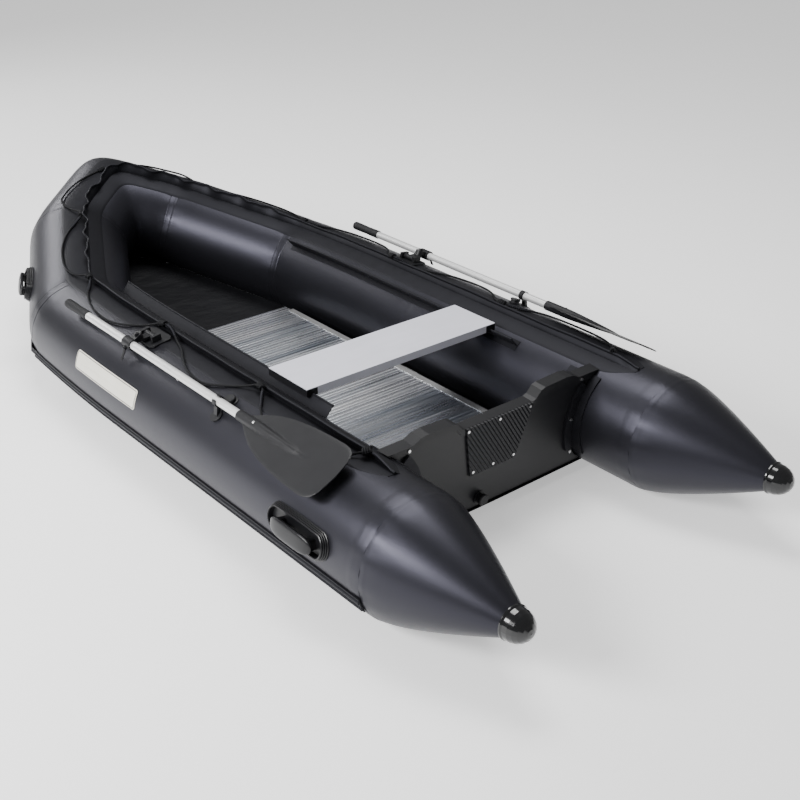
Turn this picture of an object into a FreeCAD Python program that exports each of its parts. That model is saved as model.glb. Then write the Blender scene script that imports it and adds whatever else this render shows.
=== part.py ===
"""Inflatable dinghy with an aluminium floor, a sliding thwart, a transom and a pair of oars.

Frame: +Z up, +Y towards the bow, +X to starboard, millimetres. The origin is under the middle of
the boat, on the ground that the side tubes rest on. Pieces are drawn with y measured from the
transom's outer face, and their Placement moves them along Y into the frame. Port pieces mirror
the starboard ones.
"""
import FreeCAD, Part
import Sketcher
import math
import os
from FreeCAD import Placement, Rotation, Vector

SIZES = [
    # alias, millimetres or degrees, meaning
    ("transom_station", -1042.0, "y of the transom's outer face in the frame"),
    ("tube_radius", 210, "air tube radius"),
    ("skin", 2, "tube skin with its glued laps"),
    ("tube_half_gap", 573, "x of a side tube's axis"),
    ("cone_seam", -272, "y where the side tube meets its stern cone"),
    ("sheer_start", 1150, "y where the side tube starts to bend inwards"),
    ("shoulder_inset", 25, "how far the axis has moved inwards at the shoulder"),
    ("shoulder_y", 1822, "y of the shoulder seam"),
    ("bow_knee_x", 252, "x of the bow knee"),
    ("bow_knee_y", 2412, "y of the bow knee"),
    ("bow_knee_z", 326, "height of the bow knee's axis"),
    ("nose_y", 2578, "y of the nose's axis"),
    ("nose_z", 420, "height of the nose's axis"),
    ("tip_x", 583, "x of the stern cone's tip"),
    ("tip_y", -700, "y of the stern cone's small end"),
    ("tip_z", 227, "height of the stern cone's small end"),
    ("tip_radius", 38, "radius of the stern cone's small end"),
    ("gap", 0.3, "clearance between a glued part and the tube"),
    ("strip_thick", 2, "thickness of a glued fabric strip"),
    ("strip_inner", -31, "gunwale strip's inboard edge, degrees from the tube's top"),
    ("strip_outer", 12, "gunwale strip's outboard edge, degrees"),
    ("strip_aft", -145, "y of the gunwale strip's aft end"),
    ("flap_foot", -13, "foot of the gunwale flap, degrees"),
    ("flap_height", 24, "height of the gunwale flap with its rope hem"),
    ("flap_wall", 2.4, "thickness of the flap"),
    ("hem_radius", 3.6, "radius of the rope hem on a flap"),
    ("rail_angle", -41, "seat rail's place on the tube, degrees"),
    ("rail_aft", 330, "y of the seat rail's aft end"),
    ("rail_fore", 1700, "y of the seat rail's forward end"),
    ("rail_reach", 49, "how far the seat rail's hem stands off the tube"),
    ("strake_angle", 112, "middle of the rub strake, degrees"),
    ("strake_width", 58, "width of the rub strake"),
    ("strake_thick", 5, "thickness of the strake's base"),
    ("strake_ridge", 4.8, "radius of the strake's two ridges"),
    ("transom_thick", 40, "thickness of the transom board"),
    ("transom_rake", 3.4, "rake of the transom, degrees"),
    ("transom_foot", 52, "height of the transom's lower edge"),
    ("notch_half", 150, "half width of the motor notch"),
    ("notch_z", 376, "height of the motor notch"),
    ("hump_z", 413, "height of the transom's shoulders"),
    ("wing_z", 397, "height of the transom's ends"),
    ("cap_wall", 4, "wall of the transom's moulded cap"),
    ("cap_skirt", 20, "how far the cap reaches down the faces"),
    ("plate_thick", 8, "thickness of the outer motor plate"),
    ("floor_z", 129, "height of the floor"),
    ("panel_half", 316, "half width of a floor panel"),
    ("panel_length", 530, "length of a floor panel"),
    ("panel_depth", 15, "depth of a floor panel's profile"),
    ("panel_skin", 3, "thickness of a floor panel's top"),
    ("rib_pitch", 57, "pitch of the ribs under a floor panel"),
    ("rib_wall", 3, "thickness of those ribs"),
    ("floor_aft", 46, "y of the floor's aft end"),
    ("stringer_outer", 325, "x of a stringer's outer face"),
    ("stringer_lip", 26, "width of a stringer's flanges"),
    ("stringer_wall", 2.5, "wall of a stringer"),
    ("stringer_length", 1540, "length of a stringer"),
    ("bench_length", 854, "length of the bench"),
    ("bench_width", 220, "width of the bench"),
    ("bench_thick", 28, "thickness of the bench"),
    ("bench_top", 425.5, "height of the bench's top"),
    ("bench_aft", 442, "y of the bench's aft edge"),
    ("bench_wall", 2.5, "wall of the bench's extrusion"),
    ("end_block", 44, "length of the moulded block in each end of the bench"),
    ("oar_lift", 37, "height of the oar's axis above the tube"),
    ("oar_angle", 29, "place of the oar round the tube, degrees"),
    ("shaft_radius", 14.5, "oar shaft radius"),
    ("shaft_wall", 1.5, "wall of the oar shaft"),
    ("loom_fore", 1520, "y of the oar shaft's forward end"),
    ("joint_y", 820, "y where the two lengths of shaft meet"),
    ("blade_root", 430, "y where the shaft enters the blade"),
    ("grip_radius", 17.5, "oar grip radius"),
    ("grip_aft", 1444, "y of the grip's open end"),
    ("grip_length", 170, "length of the grip"),
    ("rowlock_y", 1135, "y of the rowlock"),
    ("rowlock_angle", 9, "place of the rowlock block round the tube, degrees"),
    ("barrel_radius", 11, "radius of the rowlock barrel"),
    ("clip_y", 560, "y of the oar clip"),
    ("valve_y", 559, "y of the air valve"),
    ("valve_angle", 20, "place of the air valve round the tube, degrees"),
    ("valve_radius", 24, "radius of the air valve's flange"),
    ("rope_radius", 4, "lifeline radius"),
]


class Dim:
    """A size that knows its number and the sheet expression that gives it."""

    def __init__(self, number, text):
        self.number = number
        self.text = text

    def __add__(self, other):
        return Dim(self.number + num(other), f"({self.text} + {words(other)})")

    def __radd__(self, other):
        return Dim(num(other) + self.number, f"({words(other)} + {self.text})")

    def __sub__(self, other):
        return Dim(self.number - num(other), f"({self.text} - {words(other)})")

    def __rsub__(self, other):
        return Dim(num(other) - self.number, f"({words(other)} - {self.text})")

    def __mul__(self, factor):
        return Dim(self.number * num(factor), f"({self.text} * {words(factor)})")

    __rmul__ = __mul__

    def __truediv__(self, factor):
        return Dim(self.number / num(factor), f"({self.text} / {words(factor)})")

    def __neg__(self):
        return Dim(-self.number, f"(-1 * {self.text})")


def num(value):
    return value.number if isinstance(value, Dim) else float(value)


def words(value):
    return value.text if isinstance(value, Dim) else repr(round(float(value), 9))


def make_sheet(doc):
    """The spreadsheet of driving dimensions, and the same sizes as Dims by alias."""
    sheet = doc.addObject("Spreadsheet::Sheet", "Sizes")
    for row, (alias, value, meaning) in enumerate(SIZES, start=1):
        sheet.set(f"A{row}", meaning)
        sheet.set(f"B{row}", str(value))
        sheet.setAlias(f"B{row}", alias)
    doc.recompute()
    return {alias: Dim(float(value), f"Sizes.{alias}") for alias, value, meaning in SIZES}


doc = FreeCAD.newDocument("InflatableDinghy")
S = make_sheet(doc)
PARTS = {}
FAR = 1500.0


def sin(degrees):
    return math.sin(math.radians(num(degrees)))


def cos(degrees):
    return math.cos(math.radians(num(degrees)))


def bind(thing, **sizes):
    """Give properties of a document object their numbers and bind the ones that are Dims."""
    for name, value in sizes.items():
        setattr(thing, name, num(value))
        if isinstance(value, Dim):
            thing.setExpression(name, value.text)
    return thing


def put(thing, at=(0, 0, 0), turn=None):
    """Place a document object, with its Base bound to the sheet wherever a coordinate is a Dim."""
    base = Vector(*(num(value) for value in at))
    thing.Placement = Placement(base, turn or Rotation())
    for letter, value in zip("xyz", at):
        if isinstance(value, Dim):
            thing.setExpression(f".Placement.Base.{letter}", value.text)
    return thing


def along(direction):
    """The rotation that turns +Z to a direction."""
    return Rotation(Vector(0, 0, 1), Vector(*direction))


def box(name, length, width, height, at=(0, 0, 0), turn=None):
    shape = bind(doc.addObject("Part::Box", name), Length=length, Width=width, Height=height)
    return put(shape, at, turn)


def cylinder(name, radius, height, at=(0, 0, 0), turn=None):
    shape = bind(doc.addObject("Part::Cylinder", name), Radius=radius, Height=height)
    return put(shape, at, turn)


def cut(name, base, tool):
    result = doc.addObject("Part::Cut", name)
    result.Base = base
    result.Tool = tool
    return result


def fuse(name, *shapes):
    result = doc.addObject("Part::MultiFuse", name)
    result.Shapes = list(shapes)
    return result


def common(name, *shapes):
    result = doc.addObject("Part::MultiCommon", name)
    result.Shapes = list(shapes)
    return result


def group(name, *shapes):
    """Separate solids that share one node."""
    result = doc.addObject("Part::Compound", name)
    result.Links = list(shapes)
    return result


def mirrored(name, source):
    result = doc.addObject("Part::Mirroring", name)
    result.Source = source
    result.Normal = Vector(1, 0, 0)
    return result


def part(label, shape, moved=True):
    """Name a finished piece, and move it along Y into the frame unless it stands there already."""
    shape.Label = label
    if moved:
        shape.Placement.Base.y = num(S["transom_station"]) + shape.Placement.Base.y
        offset = S["transom_station"] + shape.Placement.Base.y - num(S["transom_station"])
        shape.setExpression(".Placement.Base.y", offset.text)
    PARTS[label] = shape
    return shape


def pair(name, shape):
    """A starboard piece and its port mirror image, each in a node of its own."""
    starboard = part(f"{name}_starboard", shape)
    return starboard, part(f"{name}_port", mirrored(f"{shape.Name}_port", starboard), moved=False)


def both(label, shape):
    """A starboard piece and its port mirror image in one node."""
    return part(label, group(f"{shape.Name}_both", shape, mirrored(f"{shape.Name}_port", shape)))


# ---- sketches and the features made from them ----


def sketch_on(body, name, role, offset=0.0):
    """A sketch on one of a body's origin planes, moved along that plane's normal."""
    sketch = body.newObject("Sketcher::SketchObject", name)
    plane = next(f for f in body.Origin.OriginFeatures if f.Role == role)
    sketch.AttachmentSupport = (plane, [""])
    sketch.MapMode = "FlatFace"
    sketch.AttachmentOffset = Placement(Vector(0, 0, num(offset)), Rotation())
    if isinstance(offset, Dim):
        sketch.setExpression(".AttachmentOffset.Base.z", offset.text)
    return sketch


def tie(sketch, kind, geometry, point, value):
    """Hold one coordinate of a sketch point, bound to the sheet where it is a Dim."""
    index = sketch.addConstraint(Sketcher.Constraint(kind, -1, 1, geometry, point, num(value)))
    if isinstance(value, Dim):
        sketch.setExpression(f"Constraints[{index}]", value.text)


def polygon(sketch, points):
    """A closed outline through points whose coordinates are numbers or Dims."""
    spots = [Vector(num(x), num(y), 0) for x, y in points]
    first = sketch.GeometryCount
    count = len(spots)
    for i in range(count):
        sketch.addGeometry(Part.LineSegment(spots[i], spots[(i + 1) % count]))
    for i in range(count):
        after = first + (i + 1) % count
        sketch.addConstraint(Sketcher.Constraint("Coincident", first + i, 2, after, 1))
    for i, (x, y) in enumerate(points):
        tie(sketch, "DistanceX", first + i, 1, x)
        tie(sketch, "DistanceY", first + i, 1, y)


def disc(sketch, x, y, radius):
    """A circle held by its centre and radius."""
    index = sketch.addGeometry(Part.Circle(Vector(num(x), num(y), 0), Vector(0, 0, 1), num(radius)))
    tie(sketch, "DistanceX", index, 3, x)
    tie(sketch, "DistanceY", index, 3, y)
    held = sketch.addConstraint(Sketcher.Constraint("Radius", index, num(radius)))
    if isinstance(radius, Dim):
        sketch.setExpression(f"Constraints[{held}]", radius.text)


def band(sketch, x, y, inner, outer, start, end):
    """A sector of a ring about (x, y), from one angle to another, measured from up to outboard."""
    centre = Vector(num(x), num(y), 0)
    first, last = math.radians(90 - num(end)), math.radians(90 - num(start))
    arcs = []
    for radius in (inner, outer):
        circle = Part.Circle(centre, Vector(0, 0, 1), num(radius))
        arcs.append(sketch.addGeometry(Part.ArcOfCircle(circle, first, last)))
        held = sketch.addConstraint(Sketcher.Constraint("Radius", arcs[-1], num(radius)))
        if isinstance(radius, Dim):
            sketch.setExpression(f"Constraints[{held}]", radius.text)
        tie(sketch, "DistanceX", arcs[-1], 3, x)
        tie(sketch, "DistanceY", arcs[-1], 3, y)
    for end_point in (1, 2):
        ends = [sketch.getPoint(arc, end_point) for arc in arcs]
        line = sketch.addGeometry(Part.LineSegment(*ends))
        for side, arc in enumerate(arcs, start=1):
            sketch.addConstraint(Sketcher.Constraint("Coincident", line, side, arc, end_point))


def pad(name, role, length, outline, offset=0.0, back=False):
    """A body padded from one outline; outline(sketch) draws it."""
    body = doc.addObject("PartDesign::Body", name)
    sketch = sketch_on(body, f"{name}_outline", role, offset)
    outline(sketch)
    feature = body.newObject("PartDesign::Pad", f"{name}_pad")
    feature.Profile = sketch
    feature.Reversed = back
    bind(feature, Length=length)
    return body


def turned(name, outline):
    """A body turned about its own Z axis from an outline drawn in (radius, height)."""
    body = doc.addObject("PartDesign::Body", name)
    sketch = sketch_on(body, f"{name}_outline", "XZ_Plane")
    outline(sketch)
    feature = body.newObject("PartDesign::Revolution", f"{name}_turn")
    feature.Profile = sketch
    feature.ReferenceAxis = (sketch, ["V_Axis"])
    feature.Angle = 360
    return body


# ---- the line that a side tube follows ----

SHEER = num(S["shoulder_y"]) - num(S["sheer_start"])
INSET = num(S["shoulder_inset"])
BEND_RADIUS = (SHEER**2 + INSET**2) / (2 * INSET)
BEND = 2 * math.atan2(INSET, SHEER)
SHOULDER = Vector(num(S["tube_half_gap"]) - INSET, num(S["shoulder_y"]), num(S["tube_radius"]))
KNEE = Vector(num(S["bow_knee_x"]), num(S["bow_knee_y"]), num(S["bow_knee_z"]))
NOSE = Vector(0, num(S["nose_y"]), num(S["nose_z"]))
SIDE_AIM = Vector(-math.sin(BEND), math.cos(BEND), 0)
BOW_AIM = (KNEE - SHOULDER).normalize()
NOSE_AIM = (NOSE - KNEE).normalize()


def run_along_side(name, outline, start, beyond=220.0):
    """A body whose outline is carried from y = start along the side tube's line, and a little
    past the shoulder."""
    body = doc.addObject("PartDesign::Body", name)
    path = sketch_on(body, f"{name}_path", "XY_Plane", S["tube_radius"])
    begin = Vector(num(S["tube_half_gap"]), num(start), 0)
    bend = Vector(num(S["tube_half_gap"]), num(S["sheer_start"]), 0)
    centre = bend - Vector(BEND_RADIUS, 0, 0)
    arrive = Vector(SHOULDER.x, SHOULDER.y, 0)
    path.addGeometry(Part.LineSegment(begin, bend))
    circle = Part.Circle(centre, Vector(0, 0, 1), BEND_RADIUS)
    path.addGeometry(Part.ArcOfCircle(circle, 0, BEND))
    if beyond:
        path.addGeometry(Part.LineSegment(arrive, arrive + SIDE_AIM * beyond))
    section = sketch_on(body, f"{name}_section", "XZ_Plane", -start)
    outline(section)
    pipe = body.newObject("PartDesign::AdditivePipe", f"{name}_pipe")
    pipe.Profile = section
    pipe.Spine = (path, [])
    return body


def reflected(vector, normal):
    """A vector mirrored in the plane with that normal."""
    unit = Vector(*normal).normalize()
    return vector - unit * (2 * vector.dot(unit))


def facing(outboard, forward, up):
    """The rotation that turns X, Y and Z to three square directions."""
    rows = zip(outboard, forward, up)
    return Rotation(FreeCAD.Matrix(*(number for row in rows for number in (*row, 0)), 0, 0, 0, 1))


SHOULDER_PLANE = SIDE_AIM + BOW_AIM
KNEE_PLANE = BOW_AIM + NOSE_AIM
NOSE_PLANE = Vector(-1, 0, 0)

# Outboard and up for each bow segment: the side tube's, mirrored in each seam that they pass.
BOW_FRAME = [reflected(v, SHOULDER_PLANE) for v in (Vector(SIDE_AIM.y, -SIDE_AIM.x, 0), Vector(0, 0, 1))]
NOSE_FRAME = [reflected(v, KNEE_PLANE) for v in BOW_FRAME]

SEGMENTS = [
    ("shoulder", SHOULDER, KNEE, BOW_FRAME, [(SHOULDER, -SHOULDER_PLANE), (KNEE, KNEE_PLANE)]),
    ("nose", KNEE, NOSE, NOSE_FRAME, [(KNEE, -KNEE_PLANE), (NOSE, NOSE_PLANE)]),
]


def run_along_bow(name, outline, segment):
    """A body whose outline, drawn with x outboard and y up, is carried straight along a bow
    segment and past both its seams."""
    _, start, end, (outboard, up), _ = segment
    beyond = 260.0
    aim = (end - start).normalize()
    body = doc.addObject("PartDesign::Body", name)
    section = sketch_on(body, f"{name}_section", "XY_Plane")
    outline(section)
    feature = body.newObject("PartDesign::Pad", f"{name}_pad")
    feature.Profile = section
    feature.Reversed = True
    feature.Length = (end - start).Length + 2 * beyond
    return put(body, start - aim * beyond, facing(outboard, up, -aim))


def turned_along_side(name, outline):
    """The bent stretch of a side run, turned about the bend's upright axis a little past the shoulder."""
    body = doc.addObject("PartDesign::Body", name)
    section = sketch_on(body, f"{name}_section", "XZ_Plane", -S["sheer_start"])
    outline(section)
    centre_x = num(S["tube_half_gap"]) - BEND_RADIUS
    section.addGeometry(Part.LineSegment(Vector(centre_x, 0, 0), Vector(centre_x, 100, 0)), True)
    feature = body.newObject("PartDesign::Revolution", f"{name}_turn")
    feature.Profile = section
    feature.ReferenceAxis = (section, ["Axis0"])
    feature.Angle = math.degrees(BEND) + 0.8
    return body


def half_space(name, point, normal, inset=0.0):
    """Everything beyond a plane, on the side that its normal points to."""
    turn = along(normal)
    corner = point + Vector(*normal).normalize() * -inset
    corner = corner - turn.multVec(Vector(FAR / 2, FAR / 2, 0))
    return box(name, FAR, FAR, FAR, corner, turn)


def trimmed(name, body, ends, inset=0.0):
    """Cut a carried body at the seam planes: ends holds (point, direction that is cut away)."""
    for number, (point, away) in enumerate(ends):
        plane = half_space(f"{name}_seam{number}", point, away, inset)
        body = cut(f"{name}_cut{number}", body, plane)
    return body


def bow_lengths(name, outline):
    """The two lengths of a strip that follow the bow segments to the nose."""
    pieces = []
    for segment in SEGMENTS:
        label = f"{name}_{segment[0]}"
        pieces.append(trimmed(label, run_along_bow(label, outline, segment), segment[-1]))
    return pieces


def lengths(name, outline_side, outline_bow, start):
    """Three lengths of a strip that follow the side tube and both bow segments to the nose."""
    side = run_along_side(f"{name}_side", outline_side, start)
    return [trimmed(f"{name}_side", side, [(SHOULDER, SHOULDER_PLANE)]), *bow_lengths(name, outline_bow)]


# ---- air tubes ----


def tube_disc(radius, x=0.0, z=0.0):
    return lambda sketch: disc(sketch, x, z, radius)


def side_form(name, radius, start, inset=0.0):
    side = run_along_side(name, tube_disc(radius, S["tube_half_gap"], S["tube_radius"]), start)
    return trimmed(name, side, [(SHOULDER, SHOULDER_PLANE)], inset)


def bow_form(name, radius, number, inset=0.0):
    segment = SEGMENTS[number]
    return trimmed(name, run_along_bow(name, tube_disc(radius), segment), segment[-1], inset)


def air_tubes():
    """Each chamber panel is a closed skin around air."""
    inner = S["tube_radius"] - S["skin"]
    skin = num(S["skin"])
    side = cut(
        "side_tube",
        side_form("side_outside", S["tube_radius"], S["cone_seam"]),
        side_form("side_air", inner, S["cone_seam"] + S["skin"], skin),
    )
    pair("side_tube", side)
    for number, key in enumerate(("bow_tube", "nose_tube")):
        outside = bow_form(f"{key}_outside", S["tube_radius"], number)
        air = bow_form(f"{key}_air", inner, number, skin)
        pair(key, cut(key, outside, air))


def cone_form(name, inset):
    """A slanted cone between the tube's round end and the small round at the tip."""
    rings = []
    ends = [
        (S["tube_radius"] - inset, S["tube_half_gap"], S["cone_seam"] - inset, S["tube_radius"]),
        (S["tip_radius"] - inset, S["tip_x"], S["tip_y"] + inset, S["tip_z"]),
    ]
    for number, (radius, x, y, z) in enumerate(ends):
        ring = bind(doc.addObject("Part::Circle", f"{name}_ring{number}"), Radius=radius)
        rings.append(put(ring, (x, y, z), Rotation(Vector(1, 0, 0), 90)))
    loft = doc.addObject("Part::Loft", name)
    loft.Sections = rings
    loft.Solid = True
    loft.Ruled = True
    return loft


def stern_cones():
    pair("stern_cone", cut("stern_cone", cone_form("cone_outside", 0.0), cone_form("cone_air", S["skin"])))


def cone_caps():
    """Moulded domes that cover the small ends of the cones."""

    def outline(sketch):
        rim, length, wall = 52.0, 62.0, 4.0
        arc = [(angle, sin(angle), cos(angle)) for angle in (15, 30, 45, 60, 75)]
        outer = [(rim * across, length * ahead) for angle, ahead, across in arc]
        polygon(sketch, [(0, wall), (0, length), *reversed(outer), (rim, 0), (rim + 3, -6), (rim + 3, -10), (0, -10)])

    dome = turned("cap_dome", outline)
    reach = Vector(10, -428, 17)
    reach.normalize()
    put(dome, (S["tip_x"], S["tip_y"] + 6, S["tip_z"]), along(reach))
    both("stern_cone_caps", cut("cone_cap", dome, cone_form("cap_seat", -0.2)))


# ---- glued strips ----


def offset_band(inner, outer, start, end):
    """The same ring sector for the side run and, about the origin, for the bow runs."""

    def on_side(sketch):
        band(sketch, S["tube_half_gap"], S["tube_radius"], inner, outer, start, end)

    def on_bow(sketch):
        band(sketch, 0.0, 0.0, inner, outer, start, end)

    return on_side, on_bow


def ray_point(radius, angle, side):
    """A point of the section at a radius and an angle from the tube's top."""
    x0, z0 = (S["tube_half_gap"], S["tube_radius"]) if side else (0.0, 0.0)
    return x0 + radius * sin(angle), z0 + radius * cos(angle)


def fin(foot, tip, half, side):
    """A straight web on the tube from one (radius, angle) to another, as an outline."""

    def outline(sketch):
        low, high = ray_point(*foot, side), ray_point(*tip, side)
        run = Vector(num(high[0]) - num(low[0]), num(high[1]) - num(low[1]), 0)
        across = Vector(-run.y, run.x, 0).normalize() * half
        corners = [(low, across), (high, across), (high, -across), (low, -across)]
        polygon(sketch, [(spot[0] + shift.x, spot[1] + shift.y) for spot, shift in corners])

    return outline


def arc_between(sketch, centre, radius, first, last):
    """An arc about a centre, between two angles in radians counted from the sketch's X axis."""
    x, y = centre
    circle = Part.Circle(Vector(num(x), num(y), 0), Vector(0, 0, 1), num(radius))
    index = sketch.addGeometry(Part.ArcOfCircle(circle, first, last))
    held = sketch.addConstraint(Sketcher.Constraint("Radius", index, num(radius)))
    if isinstance(radius, Dim):
        sketch.setExpression(f"Constraints[{held}]", radius.text)
    tie(sketch, "DistanceX", index, 3, x)
    tie(sketch, "DistanceY", index, 3, y)
    return index


def chord(sketch, centre, radius, first, last):
    """A straight line between two points of a circle, given by their angles in radians."""
    x, y = (num(value) for value in centre)
    ends = [
        Vector(x + num(radius) * math.cos(turn), y + num(radius) * math.sin(turn), 0)
        for turn in (first, last)
    ]
    return sketch.addGeometry(Part.LineSegment(*ends))


def join(sketch, first, first_end, second, second_end):
    """A straight line from one edge's end (1 or 2) to another's."""
    ends = [sketch.getPoint(first, first_end), sketch.getPoint(second, second_end)]
    line = sketch.addGeometry(Part.LineSegment(*ends))
    sketch.addConstraint(Sketcher.Constraint("Coincident", line, 1, first, first_end))
    sketch.addConstraint(Sketcher.Constraint("Coincident", line, 2, second, second_end))


HEM_SIDES = 6


def strip_outline(on_side):
    """A curved strip with a thin flap that ends in a six-sided hem, as one outline."""
    centre = ray_point(0.0, 0.0, on_side)
    low = S["tube_radius"] + S["gap"]
    high = low + S["strip_thick"]
    foot, tip_turn = S["flap_foot"], 4.0
    tip = ray_point(low + S["flap_height"] - S["hem_radius"], foot + tip_turn, on_side)
    root = ray_point(high, foot, on_side)
    half = num(S["flap_wall"]) / 2
    lean = math.atan2(num(tip[1]) - num(root[1]), num(tip[0]) - num(root[0]))
    mouth = math.asin(half / num(S["hem_radius"]))
    spread = math.asin(half / num(high))

    def from_right(angle):
        return math.radians(90 - num(angle))

    def outline(sketch):
        middle = from_right(foot)
        inboard = arc_between(sketch, centre, high, middle + spread, from_right(S["strip_inner"]))
        first, last = lean - math.pi + mouth, lean + math.pi - mouth
        turns = [first + (last - first) * step / HEM_SIDES for step in range(HEM_SIDES + 1)]
        hem = [chord(sketch, tip, S["hem_radius"], *ends) for ends in zip(turns, turns[1:])]
        outboard = arc_between(sketch, centre, high, from_right(S["strip_outer"]), middle - spread)
        under = arc_between(sketch, centre, low, from_right(S["strip_outer"]), from_right(S["strip_inner"]))
        for before, after in zip(hem, hem[1:]):
            sketch.addConstraint(Sketcher.Constraint("Coincident", before, 2, after, 1))
        join(sketch, inboard, 1, hem[-1], 2)
        join(sketch, hem[0], 1, outboard, 2)
        join(sketch, outboard, 1, under, 1)
        join(sketch, under, 2, inboard, 2)

    return outline


def gunwale_strips():
    """A glued strip, butted at the seams, with a standing flap whose free edge is sewn round a rope."""
    outline = strip_outline(True)
    straight = pad("strip_straight", "XZ_Plane", S["sheer_start"] - S["strip_aft"], outline, -S["strip_aft"], True)
    bend = trimmed("strip_bend", turned_along_side("strip_bend", outline), [(SHOULDER, SHOULDER_PLANE)])
    bow = bow_lengths("strip", strip_outline(False))
    pair("gunwale_strip", group("gunwale_strip", straight, bend, *bow))


def seat_rails():
    """Glued fins whose rope hems carry the bench."""
    low = S["tube_radius"] + S["gap"]
    angle = S["rail_angle"]
    spread = 5.5
    foot = (low + 0.5, angle)
    tip = (low + S["rail_reach"] - 1.5, angle)

    def base(sketch):
        start, end = angle - spread, angle + spread
        band(sketch, S["tube_half_gap"], S["tube_radius"], low, low + 1.5, start, end)

    def hem(sketch):
        disc(sketch, *ray_point(*tip, True), S["hem_radius"])

    runs = [
        run_along_side("rail_base", base, S["rail_aft"], 0.0),
        run_along_side("rail_fin", fin(foot, tip, num(S["flap_wall"]) / 2, True), S["rail_aft"], 0.0),
        run_along_side("rail_hem", hem, S["rail_aft"], 0.0),
    ]
    end = box("rail_end", 600, 400, 500, (100, S["rail_fore"], 200))
    both("seat_rails", cut("seat_rail", fuse("rail_whole", *runs), end))


def rub_strakes():
    """A flat band with two ridges, low on the outside of the tubes."""
    low = S["tube_radius"] + S["gap"]
    spread = math.degrees(num(S["strake_width"]) / 2 / num(S["tube_radius"]))
    middle = S["strake_angle"]
    start, end = middle - spread, middle + spread
    high = low + S["strake_thick"]
    pieces = lengths("strake_base", *offset_band(low, high, start, end), S["cone_seam"])
    for number, side in enumerate((-1, 1)):
        angle = middle + side * spread * 0.52

        def ridge(place, angle=angle):
            return lambda sketch: disc(sketch, *ray_point(high, angle, place), S["strake_ridge"])

        pieces += lengths(f"strake_ridge{number}", ridge(True), ridge(False), S["cone_seam"])
    pair("rub_strake", fuse("rub_strake", *pieces))


# ---- the fabric bottom and what it is cut to ----


def hull_form(radius):
    """The outside of the starboard tubes ahead of the cone, a little larger than they are."""
    return fuse(
        "hull_form",
        side_form("fat_side", radius, S["cone_seam"]),
        bow_form("fat_bow", radius, 0),
        bow_form("fat_nose", radius, 1),
    )


def bottom_skin(tubes):
    """A shallow vee between the tubes that rises to the nose, carried by fabric 2 mm thick."""
    keel, bilge, front = 44.0, 49.0, 1720.0
    outer = num(S["tube_half_gap"])
    slope = (bilge - keel) / outer
    rise = (num(S["nose_z"]) - 190.0 - keel) / (num(S["nose_y"]) - front)
    aft = num(S["transom_thick"]) * -0.25

    def facet(name, corners):
        wire = Part.makePolygon([*corners, corners[0]])
        sheet = doc.addObject("Part::Feature", name)
        sheet.Shape = Part.Face(wire).extrude(Vector(0, 0, 2))
        return sheet

    def height(x, y):
        return keel + slope * x + rise * max(0.0, y - front)

    def spot(x, y):
        return Vector(x, y, height(x, y))

    flat = facet("bottom_flat", [spot(0, aft), spot(outer, aft), spot(outer, front), spot(0, front)])
    nose = [spot(0, front), spot(outer, front), spot(SHOULDER.x, SHOULDER.y), spot(KNEE.x, KNEE.y), spot(0, NOSE.y)]
    half = cut("bottom_half", fuse("bottom_sheet", flat, facet("bottom_rise", nose)), tubes)
    part("bottom_skin", fuse("bottom_skin", half, mirrored("bottom_port", half)))


def keel_tube():
    """The inflatable keel under the floor, a round skin with blunt ends."""
    radius, aft, fore = 32.0, 70.0, 1600.0
    centre_z = num(S["floor_z"]) - num(S["panel_depth"]) - radius - 2.0
    turn = Rotation(Vector(1, 0, 0), -90)
    outside = cylinder("keel_outside", radius, fore - aft, (0, aft, centre_z), turn)
    air = cylinder("keel_air", radius - 2, fore - aft - 4, (0, aft + 2, centre_z), turn)
    part("keel_tube", cut("keel_tube", outside, air))


# ---- floor ----


def floor_panels():
    """Extruded planks with ribs underneath, each panel one piece across the boat."""
    names = ("floor_panel_aft", "floor_panel_middle", "floor_panel_forward")
    for number, name in enumerate(names):
        start = S["floor_aft"] + number * (S["panel_length"] + 1)
        plank = box(f"{name}_plate", S["panel_half"] * 2, S["panel_length"], S["panel_depth"])
        put(plank, (-S["panel_half"], start, S["floor_z"] - S["panel_depth"]))
        slots = []
        pitch = num(S["rib_pitch"])
        for index in range(int(num(S["panel_length"]) // pitch)):
            groove = box(
                f"{name}_groove{index}",
                S["panel_half"] * 2 + 2,
                S["rib_pitch"] - S["rib_wall"],
                S["panel_depth"] - S["panel_skin"] + 1,
            )
            y = start + S["rib_wall"] + index * S["rib_pitch"]
            slots.append(put(groove, (-S["panel_half"] - 1, y, S["floor_z"] - S["panel_depth"] - 1)))
        part(name, cut(name, plank, fuse(f"{name}_grooves", *slots)))


def stringers():
    """Channels that hold the panels' ends together along both sides."""
    length = S["stringer_length"]
    wall, lip = S["stringer_wall"], S["stringer_lip"]
    low = S["floor_z"] - S["panel_depth"] - wall - 0.2
    height = S["panel_depth"] + wall * 2 + 0.4
    outside = box("stringer_outside", lip, length, height)
    put(outside, (S["stringer_outer"] - lip, S["floor_aft"], low))
    slot = box("stringer_slot", lip, length + 2, S["panel_depth"] + 0.4)
    put(slot, (S["stringer_outer"] - lip - 8, S["floor_aft"] - 1, low + wall))
    both("floor_stringers", cut("stringer", outside, slot))


# ---- transom ----

LEAN = Rotation(Vector(1, 0, 0), num(S["transom_rake"]))


def leaned(shape):
    """Tilt a transom piece aft with the board."""
    return put(shape, (0, 0, 0), LEAN)


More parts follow.
